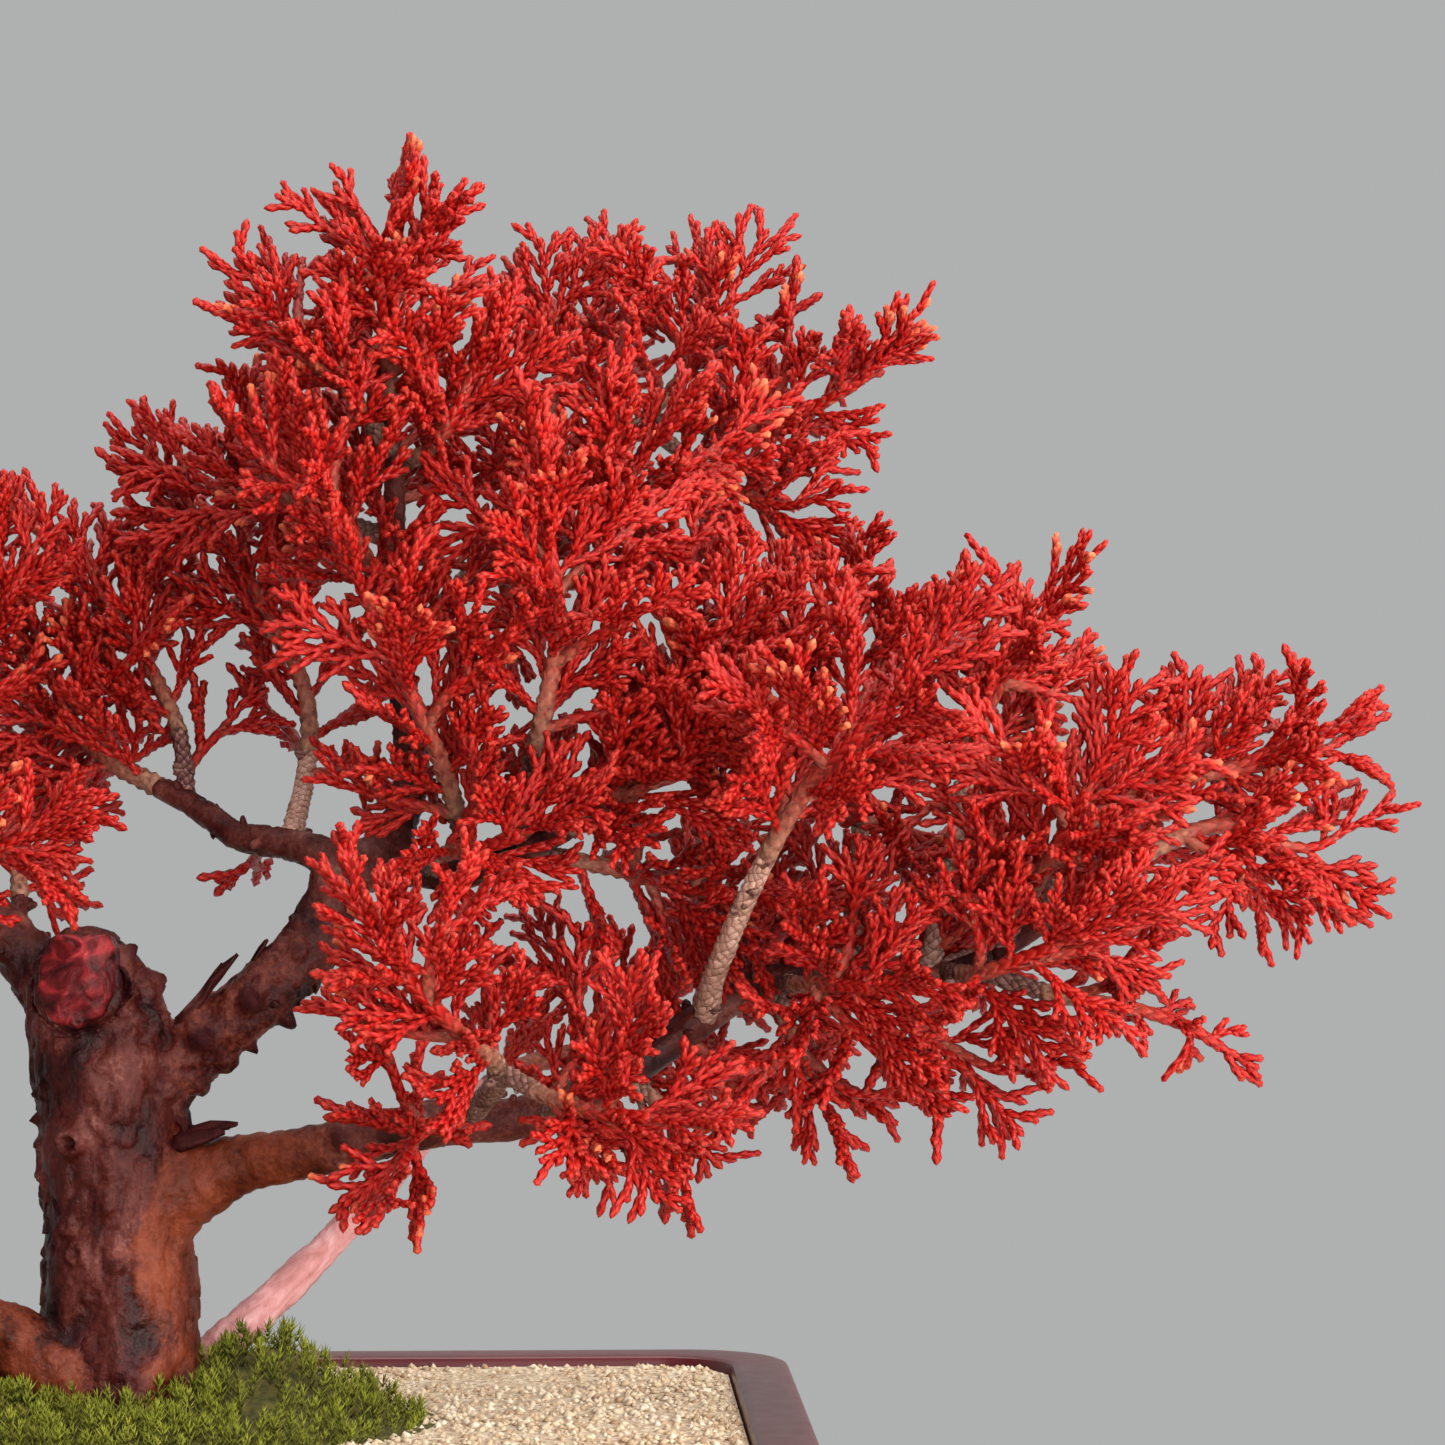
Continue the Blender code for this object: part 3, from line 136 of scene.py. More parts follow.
# Knots: middle, radius, height, and how much painted shade darkens the hollow inside the ring, or 0 for a
# mound. From 0.9 up the knot is a mound, with only painted shade for its hollow
KNOTS = (
    ((-5.2, -9.2, 39.3), 2.0, 1.5, 0.5), ((0.1, -10.6, 30.0), 1.2, 0.7, 0),
    ((-6.1, -8.6, 27.5), 1.3, 0.9, 0.3), ((-4.9, -9.6, 23.9), 1.8, 1.1, 0.4),
    ((0.4, -10.7, 22.2), 1.3, 1.2, 0.4), ((-3.0, -10.2, 17.5), 1.2, 0.6, 0),
    ((8.6, -6.6, 46.6), 2.2, 2.0, 0), ((12.4, -6.4, 53.6), 2.6, 2.4, 1),
    ((19.4, -6.2, 59.2), 2.1, 1.9, 1), ((26.0, -4.6, 66.5), 1.7, 1.1, 0.6),
    ((33.2, -12.6, 40.0), 1.9, 1.4, 1), ((10.2, 1.0, 38.5), 2.2, 1.2, 0),
    ((6.0, 8.5, 42.0), 2.2, 1.1, 0.5), ((-8.0, 7.0, 30.0), 2.0, 1.0, 0.5),
    ((3.0, 10.0, 20.0), 1.8, 1.0, 0.5), ((-10.0, 1.0, 47.0), 1.8, 1.2, 0),
    ((-9.8, -2.5, 34.0), 1.2, 1.1, 0), ((-14.0, -12.0, 12.0), 1.5, 0.8, 0.5),
    ((2.4, -3.5, 65.8), 1.7, 1.9, 1), ((6.4, -2.0, 61.8), 2.3, 2.4, 1),
    ((4.2, -4.5, 63.6), 1.5, 1.2, 0.9), ((8.6, -2.5, 57.8), 1.6, 1.4, 1),
    ((24.0, -1.5, 56.6), 1.5, 2.4, 1), ((16.4, -2.0, 49.8), 1.8, 1.5, 0.3),
    ((19.6, -1.5, 52.2), 1.0, 1.8, 0.9), ((12.0, -2.5, 46.8), 1.9, 1.6, 0.1),
    ((-10.5, -2.5, 53.6), 1.0, 1.5, 1), ((-10.6, -2.0, 50.0), 1.0, 1.5, 1),
    ((-10.6, -2.5, 45.8), 1.1, 1.2, 0.9), ((-10.5, -2.0, 42.0), 1.0, 1.4, 1),
    ((-10.5, -2.5, 38.4), 1.0, 1.3, 0.9),
)
# Where the bark round the stump crumbles: middle and reach
CRUMBLED, CRUMBLED_REACH = (5.0, -6.5, 58.0), 6.0

# Bark: its slots, and the thick limbs, which share one skin with the trunk. For each, how orange,
# how pale and how wrinkled it is, and how far its collar swells and reaches
BARK, CUT, TWIG = range(3)
SKIN_STEP = 0.64  # between two points of the trunk's skin
THICK_LIMBS = {
    "leader": (0.25, 0, 0.1, 1.2, 6.0), "low_bough": (0.8, 0, 0.9, 4.6, 9.0),
    "low_left": (0.85, 0, 0.75, 1.2, 7.0), "left_leader": (0.1, 0, 0.1, 1.5, 6.0),
    "pink_limb": (0.6, 1.0, 0.5, 0.3, 5.0), "mid_arm": (0.05, 0, 0.2, 0.8, 5.0),
    "left_arm": (0.05, 0, 0.2, 0.8, 5.0), "apex": (0.1, 0, 0.2, 0.8, 5.0),
    "left_out": (0.1, 0, 0.2, 0.6, 4.0), "left_near": (0.1, 0, 0.3, 0.8, 4.0),
    "left_back_in": (0.1, 0, 0.3, 0.8, 4.0), "left_top": (0.1, 0, 0.3, 0.6, 4.0),
}
TAN_LIMBS = {"tan": 1.0, "left_up": 0.8, "mid_rise": 0.45, "ridge": 0.4, "far_up": 0.5}
# Torn bark: limb, how many flaps, first and last share of the limb, their lengths and tone
FLAPS = (
    ("trunk", 14, 0.2, 0.98, (1.4, 3.0), (0.05, 0, 0)), ("leader", 12, 0.05, 0.98, (1.5, 3.4), (0.1, 0, 0)),
    ("low_bough", 5, 0.3, 0.9, (1.6, 3.2), (0.1, 0, 0)),
    ("left_leader", 12, 0.1, 0.98, (1.5, 3.4), (0.05, 0, 0)),
    ("left_arm", 7, 0.1, 0.95, (1.1, 2.2), (0, 0, 0)), ("mid_arm", 7, 0.1, 0.95, (1.1, 2.4), (0, 0, 0)),
    ("apex", 7, 0.02, 0.8, (1.2, 2.4), (0.1, 0, 0)), ("low_left", 3, 0.3, 0.9, (1.6, 3.0), (0.2, 0, 0)),
)
FLAP_GRID = (6, 8)  # points along a flap and across it
# A spur: its rings, as shares of its radius and its length, and its sides
SPUR_RINGS, SPUR_SIDES = ((1.2, 0), (0.95, 0.4), (0.8, 0.75), (0.45, 0.97)), 7
# Flaps that the photograph shows: foot, way out of the bark, way along it, length, width, darkness
TORN_BARK = (
    ((8.4, -5.4, 39.9), (0, -0.6, 0.8), (1, 0, 0.05), 10.0, 4.0, 0.7),
    ((10.0, -3.0, 41.0), (0, -0.3, 0.9), (1, -0.1, -0.02), 7.0, 3.5, 0.8),
    ((9.4, -4.2, 44.0), (0.8, -0.6, 0.3), (0.15, -0.1, -1), 4.5, 3.0, 0.7),
    ((8.6, -2.4, 56.2), (-0.61, -0.35, 0.75), (0.76, -0.02, 0.66), 13.5, 3.2, 0.6),
    ((16.8, -1.6, 61.2), (-0.62, -0.25, 0.76), (0.68, 0, 0.73), 9.0, 2.6, 0.5),
    ((-3.0, -10.4, 12.0), (-0.2, -1, 0), (0.35, -0.1, -1), 5.0, 4.0, 0.2),
)

# Each limb: radius at both ends, where along it the leaves begin (1 for a bare one), how much its
# fans are lifted, their length, and its route
LIMBS = {
    "leader": (5.2, 4.1, 1, 0, 0, (
        (3, 0, 45.5), (12.5, -0.5, 53), (21.5, -1, 60), (28.5, 1, 68), (32.5, 4, 77))),
    "left_arm": (2.7, 1.0, 0.57, 0.35, 18, (
        (33, 4, 78), (24, 7, 81), (16.5, 11.5, 82), (9, 18, 87), (-3, 25, 93), (-14, 36, 102))),
    "left_arm_up": (1.4, 0.9, 0.3, 0.35, 17, ((9, 18, 87), (7, 25, 98), (1, 31, 109), (-7, 35, 118))),
    "left_up": (1.7, 0.9, 0.36, 0.3, 16, (
        (24.5, 7, 81), (26, 24, 91), (26, 27, 102), (21, 29, 114), (14, 31, 124), (9, 31, 130))),
    "mid_arm": (3.3, 1.1, 0.62, 0.3, 18, (
        (33, 4, 78), (41, 1.5, 77.5), (51, -2, 77.5), (63, -10, 83), (75, -15, 90), (82, -15, 97))),
    "mid_low": (1.4, 0.9, 0.2, -0.1, 17, ((58, -6.7, 80.5), (70, -5, 78), (80, -3, 75), (88, -5, 74))),
    "apex": (2.9, 0.9, 0.75, 0.3, 15, (
        (38, 3.5, 79), (42, 6.5, 90), (40.5, 4.5, 105), (40, 2.5, 122), (39.5, -1.5, 142), (39, -1.5, 153),
        (40, -1.5, 165))),
    "apex_left": (1.4, 0.9, 0.3, 0.3, 14, ((39.5, -1, 137), (31, -5, 149), (26, -5.5, 154))),
    "apex_right": (1.3, 0.9, 0.3, 0.4, 16, ((40, 0.5, 134.5), (46, -6, 138.5), (50, -7, 145))),
    "apex_front": (1.4, 0.9, 0.3, 0.3, 17, ((40.5, 3, 112), (36, -9, 122), (30, -15, 132))),
    "left_mid": (1.5, 0.9, 0.3, 0.3, 17, (
        (39.7, 2.5, 124.5), (29, 11, 129), (20, 18, 131.5), (14, 22, 132))),
    "back_top": (2.1, 0.9, 0.81, 0.5, 18, (
        (40.5, 6.5, 108), (58, 23, 128), (76, 37, 144), (83, 40, 152), (87, 41, 158))),
    "back_top_right": (1.4, 0.9, 0.3, 0.1, 14, (
        (76, 37, 144), (92, 34, 143), (102, 31, 146), (107, 28, 149))),
    "back_top_left": (1.4, 0.9, 0.25, 0.4, 19, ((62, 27, 132), (63, 36, 145), (67, 41, 156))),
    "back_low_right": (1.3, 0.9, 0.3, 0.1, 17, ((76, 37, 144), (87, 31, 135), (95, 26, 130))),
    "back_mid": (1.4, 0.9, 0.3, 0.3, 18, ((51, 16, 120), (60, 10, 122), (68, 5, 127), (74, 2, 134))),
    "centre": (1.8, 0.9, 0.35, 0.35, 17, (
        (58, -6.7, 80.7), (60, -17, 95), (63, -22, 111), (61.5, -24, 126))),
    "centre_left": (1.6, 0.9, 0.25, 0.3, 17, (
        (51, -2, 77.5), (47, -16, 92), (42, -21, 104), (37, -23, 114))),
    "centre_low": (1.4, 0.9, 0.3, 0.25, 16, ((44, 0, 77.5), (47, -14, 80), (52, -23, 81), (58, -29, 83))),
    "low_bough": (4.6, 1.0, 0.868, 0.1, 14, (
        (4, 0, 31), (12, -2, 33.5), (19, -4, 35.8), (31, -9, 38.5), (45, -13.5, 42), (60.5, -12.5, 43.5),
        (75, -8, 50.5), (88, -3.5, 59), (99, -4, 63), (112, -9, 62.5), (121, -12.5, 64), (134, -15, 72),
        (146.5, -15.5, 80.5), (156.5, -14, 84), (162, -12, 82.5), (167, -12, 79.5))),
    "far_up": (1.2, 0.9, 0.4, 0.4, 13, (
        (139.5, -15.2, 75.8), (143, -12, 83), (152, -11, 90), (161, -11.5, 92), (169, -11.5, 95))),
    "far_left_up": (1.3, 0.9, 0.35, 0.4, 14, (
        (132, -14.5, 71), (136, -9, 82), (148, -9, 90), (156, -8, 96))),
    "tan": (1.8, 1.0, 0.52, 0.3, 20, (
        (84, -5.5, 56.5), (85.5, -14, 64), (90, -25, 76), (96, -34, 88), (102, -40, 95), (108, -42, 101))),
    "ridge": (1.7, 0.9, 0.54, 0.3, 14, (
        (115.5, -10.5, 63), (119, -9.5, 80), (123, -5, 96), (127, -6, 106), (131, -10, 112))),
    "ridge_back": (1.3, 0.9, 0.3, 0.3, 15, ((120.3, -8.4, 85), (127, 4, 96), (131, 14, 106))),
    "mid_rise": (1.8, 0.9, 0.57, 0.4, 17, ((104, -6, 62.5), (107, 6, 79), (106, 8, 96), (106, 7, 110))),
    "mid_rise_left": (1.3, 0.9, 0.35, 0.4, 16, ((107, 7, 84), (96, 1, 96), (90, -4, 108))),
    "right_mass": (1.7, 0.9, 0.3, 0.3, 18, ((125, -13.5, 67), (131, -25, 79), (136, -30, 89))),
    "right_front": (1.6, 0.9, 0.28, 0.05, 17, ((118, -11.5, 63), (122, -27, 64), (131, -35, 68))),
    "right_back": (1.5, 0.9, 0.35, 0.2, 17, ((118, -11, 63.5), (127, 4, 68), (136, 15, 74))),
    "bough_front": (1.4, 0.9, 0.3, 0.1, 16, ((94, -4, 61), (99, -20, 62), (106, -31, 62))),
    "droop": (1.5, 0.8, 0.3, 0.0, 7, (
        (121, -12.5, 64), (132, -15, 60.5), (143, -17.5, 58.5), (151, -18, 56), (156, -18, 53))),
    "droop2": (1.3, 0.8, 0.3, -0.25, 12, ((109, -8, 62.5), (115, -12, 55), (121, -15, 49))),
    "lowmid": (1.4, 0.8, 0.42, -0.2, 11, ((72, -9, 49), (78, -12, 44), (80, -14, 38))),
    "lowmid2": (1.3, 0.8, 0.3, -0.2, 12, ((94, -4, 61), (97, -8.5, 52), (100, -11, 46))),
    "front": (1.9, 0.9, 0.52, 0.3, 16, ((50.5, -13, 43), (55, -36, 51), (49, -51, 58), (42, -58, 66))),
    "front_right": (1.4, 0.9, 0.3, 0.0, 14, ((55, -35, 51), (65, -46, 47), (75, -54, 46))),
    "front_low": (1.3, 0.8, 0.35, -0.1, 13, ((44, -13.5, 43), (44, -32, 43), (42, -44, 39))),
    "front_low_right": (1.3, 0.8, 0.35, -0.1, 10, ((61, -12.5, 43.5), (66, -31, 46), (68, -44, 43))),
    "backlow": (1.6, 0.9, 0.4, 0.1, 17, ((70, -10, 48), (80, 16, 54), (91, 29, 58), (101, 36, 62))),
    "pink_limb": (3.5, 1.1, 0.7, 0.1, 17, (
        (4, 3, 1), (11, 7.5, 5.5), (18.5, 13, 11.5), (27, 21, 19), (36, 28.5, 28), (46, 36, 38.5),
        (58, 43, 46), (71, 47, 49), (82, 49, 52))),
    "left_leader": (5.0, 2.8, 1, 0, 0, (
        (-2, 0.5, 50), (-12, 5, 63), (-24, 10, 74), (-38, 12, 82), (-52, 10, 88))),
    "left_near": (1.8, 0.9, 0.5, 0.3, 14, (
        (-13, 5, 64), (-24, -4, 70), (-25.5, -12, 75), (-20, -17, 78.5), (-12.5, -19, 81))),
    "left_back_in": (1.7, 0.9, 0.35, 0.35, 17, ((-14, 6, 65), (-16, 24, 78), (-14, 36, 90))),
    "left_top": (2.2, 0.9, 0.52, 0.3, 18, ((-24, 10, 74), (-26, 14, 92), (-23, 16, 104), (-20, 17, 116))),
    "left_top_out": (1.4, 0.9, 0.3, 0.3, 17, ((-26, 14, 92), (-38, 12, 103), (-48, 9, 112))),
    "left_out": (2.8, 1.0, 0.53, 0.3, 17, ((-50, 10, 87), (-68, 6, 92), (-82, 4, 93), (-94, 1, 92))),
    "left_out_up": (1.4, 0.9, 0.3, 0.4, 16, ((-66, 6.5, 91.5), (-73, 1, 100), (-79, -1, 108))),
    "left_back": (1.7, 0.9, 0.35, 0.3, 17, ((-38, 12, 82), (-45, 27, 88), (-54, 39, 94))),
    "left_front": (1.7, 0.9, 0.35, 0.2, 17, ((-38, 12, 82), (-45, -5, 85), (-52, -21, 88), (-58, -31, 92))),
    "low_left": (6.2, 1.1, 0.76, 0.2, 17, (
        (1, -5, -1), (-6.5, -6.5, 6), (-14, -6, 11), (-24, -5, 14.5), (-36, -5, 18), (-50, -6, 27),
        (-64, -5, 37), (-80, -4, 45), (-95, -4, 50), (-106, -3, 53))),
    "low_left_up": (1.6, 0.9, 0.4, 0.4, 16, ((-64, -5, 37), (-70, -7, 50), (-74, -8, 61))),
    "low_left_front": (1.6, 0.9, 0.35, 0.1, 16, ((-50, -6, 27), (-58, -24, 33), (-66, -39, 39))),
    "low_left_back": (1.6, 0.9, 0.35, 0.2, 16, ((-57, -5.5, 32), (-66, 14, 41), (-76, 30, 49))),
    "low_left_rise": (1.4, 0.9, 0.35, 0.4, 16, (
        (-71, -4.5, 40.5), (-76, 0, 51), (-87, 1, 58.5), (-95, 1, 63), (-102, 1, 67))),
}
# Short leafy twigs that fill the crown: the limb that carries one, how far along it, its tip, and
# how long its fans are
TWIGS = (
    ("apex", 0.96, (35, -3, 171), 8), ("apex", 0.9, (44, -1, 170), 8), ("apex", 0.8, (38, -12, 160), 10),
    ("apex", 0.65, (36, 8, 150), 12), ("apex", 0.68, (47, 0, 142), 12),
    ("apex_left", 0.7, (28, 2, 148), 10), ("apex_front", 0.9, (34, -14, 141), 11),
    ("apex", 0.5, (34, 12, 138), 12), ("apex", 0.95, (31, -4, 168), 10), ("apex", 0.92, (45, -5, 165), 8),
    ("apex", 0.85, (48, 6, 161), 8), ("apex", 0.75, (32, -14, 148), 12), ("apex", 0.72, (45, -12, 150), 12),
    ("apex", 0.6, (52, 2, 132), 13), ("apex", 0.5, (50, 8, 121), 13), ("apex_left", 0.6, (21, -8, 153), 9),
    ("apex_left", 0.85, (26, 4, 160), 9), ("apex_right", 0.7, (53, -6, 155), 8),
    ("apex_front", 0.75, (22, -18, 135), 12), ("left_mid", 0.6, (18, 12, 142), 10),
    ("left_mid", 0.85, (8, 23, 137), 11), ("left_mid", 0.5, (24, 20, 145), 11),
    ("back_top_left", 0.6, (62, 34, 160), 12), ("back_top_left", 0.9, (72, 42, 163), 10),
    ("back_top_left", 0.8, (61, 45, 161), 10), ("back_top", 0.9, (78, 34, 161), 12),
    ("back_top", 0.95, (87, 44, 162), 10), ("back_top", 0.8, (76, 22, 152), 13),
    ("back_top", 0.5, (52, 24, 142), 13), ("back_top_right", 0.5, (98, 34, 157), 10),
    ("back_top_right", 0.85, (110, 27, 151), 12), ("back_top_right", 0.7, (104, 38, 147), 11),
    ("back_low_right", 0.6, (100, 22, 131), 9), ("back_low_right", 0.5, (90, 22, 145), 13),
    ("back_mid", 0.6, (72, 8, 144), 13), ("back_mid", 0.3, (55, 6, 136), 13),
    ("back_mid", 0.8, (86, 4, 138), 13), ("back_mid", 0.5, (62, -4, 132), 13),
    ("centre", 0.6, (72, -28, 112), 13), ("centre", 0.4, (70, -20, 100), 13),
    ("centre", 0.8, (73, -18, 125), 13), ("centre", 0.9, (53, -18, 127), 13),
    ("centre_left", 0.6, (52, -26, 106), 13), ("centre_left", 0.8, (50, -16, 118), 13),
    ("mid_arm", 0.85, (86, -18, 111), 13), ("mid_arm", 0.75, (82, -4, 120), 13),
    ("mid_arm", 0.7, (84, -24, 98), 13), ("left_up", 0.9, (5, 30, 131), 10),
    ("left_up", 0.62, (12, 38, 116), 12), ("left_up", 0.75, (26, 34, 128), 12),
    ("left_top", 0.8, (-13, 16, 124), 10), ("left_top", 0.9, (-26, 24, 126), 12),
    ("left_arm_up", 0.7, (-7, 34, 122), 10), ("left_arm_up", 0.85, (3, 42, 122), 11),
    ("left_arm", 0.9, (0, 22, 107), 13), ("left_arm", 0.8, (-12, 28, 106), 13),
    ("left_near", 0.6, (-9, -24, 84), 10), ("left_near", 0.8, (-22, -24, 84), 12),
    ("mid_low", 0.5, (73, -12, 90), 13), ("mid_low", 0.8, (86, -2, 84), 13),
    ("mid_low", 0.6, (78, -2, 67), 13), ("mid_rise", 0.5, (116, 14, 82), 13),
    ("mid_rise", 0.6, (100, 16, 84), 13), ("mid_rise", 0.8, (116, 12, 112), 12),
    ("mid_rise_left", 0.8, (98, -8, 112), 12), ("ridge", 0.45, (113, -4, 86), 13),
    ("ridge", 0.8, (135, -4, 102), 9), ("low_bough", 0.56, (112, 8, 72), 13),
    ("low_bough", 0.62, (120, 10, 72), 13), ("far_left_up", 0.8, (152, -10, 98), 10),
    ("far_left_up", 0.9, (159, 0, 98), 10), ("far_up", 0.8, (173, -10, 95), 9),
    ("far_up", 0.6, (165, -13, 96), 7), ("low_bough", 0.98, (173, -12, 82), 11),
    ("low_bough", 0.95, (168, -16, 75), 9), ("low_bough", 0.9, (160, -22, 76), 12),
    ("right_mass", 0.6, (144, -28, 78), 13), ("right_mass", 0.8, (126, -34, 92), 13),
    ("right_front", 0.75, (142, -34, 70), 12), ("right_back", 0.7, (146, 18, 80), 12),
    ("droop", 0.4, (143, -22, 66), 11), ("droop2", 0.6, (130, -18, 50), 9),
    ("droop2", 0.4, (115, -6, 49), 9), ("lowmid2", 0.6, (108, -14, 46), 11),
    ("lowmid2", 0.4, (96, -3, 47), 9), ("bough_front", 0.6, (92, -26, 50), 12),
    ("bough_front", 0.5, (108, -26, 52), 12), ("low_bough", 0.46, (88, 2, 46), 10),
    ("backlow", 0.7, (104, 30, 72), 13), ("backlow", 0.6, (84, 28, 70), 13),
    ("tan", 0.8, (92, -44, 98), 13), ("tan", 0.7, (106, -34, 90), 13), ("front", 0.75, (38, -54, 74), 11),
    ("front", 0.88, (48, -62, 72), 12), ("front", 0.7, (38, -46, 58), 10),
    ("front_low", 0.5, (40, -42, 54), 10), ("front_right", 0.6, (79, -50, 45), 10),
    ("front_right", 0.4, (64, -48, 44), 7), ("front_right", 0.7, (72, -56, 56), 12),
    ("front_low_right", 0.6, (76, -40, 41), 8), ("left_arm", 0.2, (19, 24, 77), 7),
    ("pink_limb", 0.85, (64, 54, 60), 12), ("left_out", 0.7, (-80, 16, 104), 12),
    ("left_out", 0.85, (-88, -10, 84), 12), ("left_top_out", 0.7, (-40, 2, 118), 12),
    ("low_left", 0.9, (-98, -16, 60), 12), ("low_left_rise", 0.7, (-84, 12, 68), 12),
    ("low_left", 0.85, (-84, 12, 52), 12), ("left_arm", 0.5, (14, 28, 98), 9),
    ("left_up", 0.35, (20, 34, 100), 9), ("left_up", 0.3, (33, 20, 91), 9), ("apex", 0.12, (46, 0, 92), 11),
    ("apex", 0.18, (48, -5, 96), 10), ("centre_left", 0.25, (38, -14, 88), 10),
    ("front", 0.3, (53, -20, 62), 11), ("low_bough", 0.33, (66, -14, 60), 11),
    ("apex", 0.35, (46, 0, 110), 11), ("apex", 0.45, (34, -4, 122), 11), ("apex", 0.55, (30, 8, 136), 11),
    ("centre", 0.2, (66, -16, 90), 11), ("mid_arm", 0.6, (64, 2, 92), 11),
    ("mid_arm", 0.5, (58, 4, 90), 10), ("mid_arm", 0.8, (92, -8, 96), 11),
    ("back_top", 0.3, (56, 18, 112), 11), ("back_top", 0.4, (64, 12, 114), 11),
    ("back_top", 0.6, (82, 24, 130), 11), ("mid_rise", 0.25, (98, 2, 74), 11),
    ("mid_rise", 0.35, (112, -4, 78), 11), ("ridge", 0.3, (124, -16, 76), 11),
    ("ridge", 0.6, (118, 4, 100), 11), ("low_bough", 0.64, (126, -14, 80), 11),
    ("low_bough", 0.72, (140, -6, 86), 10), ("low_bough", 0.5, (94, 4, 70), 11),
    ("right_mass", 0.4, (122, -26, 82), 11), ("tan", 0.6, (94, -20, 92), 11),
    ("bough_front", 0.7, (104, -22, 72), 11), ("right_front", 0.5, (120, -32, 72), 11),
)
# Vectors and curves


def unit(v):
    """The vector, or each row of vectors, at length 1."""
    return v / np.linalg.norm(v, axis=-1, keepdims=True)


def square_to(direction, hint):
    """Unit vector nearest to hint at right angles to direction."""
    flat = hint - direction * float(hint @ direction)
    if np.linalg.norm(flat) < 1e-3:
        flat = np.cross(direction, (0.31, 0.95, 0.05))
    return unit(flat)


def lengths_along(points):
    steps = np.linalg.norm(np.diff(points, axis=0), axis=1)
    return np.concatenate(((0.0,), np.cumsum(steps)))


def rounded(points, step):
    """The route as a smooth curve through its points, at about equal steps."""
    p = np.array(points, float)
    ends = np.vstack((2 * p[0] - p[1], p, 2 * p[-1] - p[-2]))
    out = []
    for a, b, c, d in zip(ends[:-3], ends[1:-2], ends[2:-1], ends[3:]):
        n = max(1, round(np.linalg.norm(c - b) / step))
        for t in np.arange(n) / n:
            curve = 2 * b + (c - a) * t + (2 * a - 5 * b + 4 * c - d) * t * t
            out.append(0.5 * (curve + (3 * b - a - 3 * c + d) * t**3))
    out.append(p[-1])
    return np.array(out)


def at(points, along, distance):
    """Point and direction at a distance along a polyline."""
    i = int(np.clip(np.searchsorted(along, distance) - 1, 0, len(along) - 2))
    t = (distance - along[i]) / (along[i + 1] - along[i])
    return points[i] + (points[i + 1] - points[i]) * t, unit(points[i + 1] - points[i])


def evenly(points, marks):
    """The points of a polyline at the given distances along it."""
    along = lengths_along(points)
    return np.stack([np.interp(marks, along, points[:, k]) for k in range(3)], axis=1)


def arc(root, heading, bend, length, n):
    """n + 1 points from root that start along heading and lean towards bend."""
    points, step, d = [root], length / n, heading
    for _ in range(n):
        points.append(points[-1] + d * step)
        d = unit(d + bend / n)
    return np.array(points)


def radius_at(name, share):
    thick, thin = LIMBS[name][:2]
    return thick + (thin - thick) * np.minimum(1.0, share) ** 0.8


# How the juniper grows


def side_way(rng, ahead, side, normal, tilts, angles):
    """Direction of a shoot that leaves ahead to one side, and a little out of the fan's plane."""
    tilt = rng.uniform(-tilts, tilts)
    angle = math.radians(rng.uniform(*angles))
    across = side * math.cos(tilt) + normal * math.sin(tilt)
    return unit(ahead * math.cos(angle) + across * math.sin(angle))


def fan(rng, root, heading, hint, length):
    """One flattened spray: its normal and the (level, points) of its axis, side shoots and fingers."""
    normal = square_to(heading, hint)
    side = np.cross(normal, heading)
    lean = normal * rng.uniform(-0.1, 0.25) + side * rng.uniform(-0.15, 0.15)
    axis = arc(root, heading, lean, length, 6)
    along = lengths_along(axis)
    cords = [(0, axis)]
    n = int(length * 0.78 / SHOOT_STEP)
    flip = rng.choice((-1, 1))
    for i in range(n):
        t = 0.16 + 0.78 * (i + rng.uniform(0, 0.5)) / n
        p, d = at(axis, along, t * length)
        flip = -flip
        out = side_way(rng, d, side * flip, normal, 0.55, (27, 40))
        reach = length * (0.72 - 0.44 * t) * rng.uniform(0.8, 1.15)
        shoot = arc(p, out, d * 0.35 + UP * 0.1, reach, 4)
        cords.append((1, shoot))
        if reach < SHORTEST_FORKED:
            continue
        along2 = lengths_along(shoot)
        m = max(1, round(reach / FINGER_STEP) - 1)
        flip2 = rng.choice((-1, 1))
        for j in range(m):
            t2 = 0.3 + 0.6 * (j + rng.uniform(0, 0.5)) / m
            p2, d2 = at(shoot, along2, t2 * reach)
            flip2 = -flip2
            out2 = side_way(rng, d2, np.cross(normal, d2) * flip2, normal, 0.9, (24, 37))
            reach2 = rng.uniform(3.4, 6.4) * (1.1 - 0.4 * t2)
            cords.append((2, arc(p2, out2, d2 * 0.3, reach2, 3)))
    return normal, cords


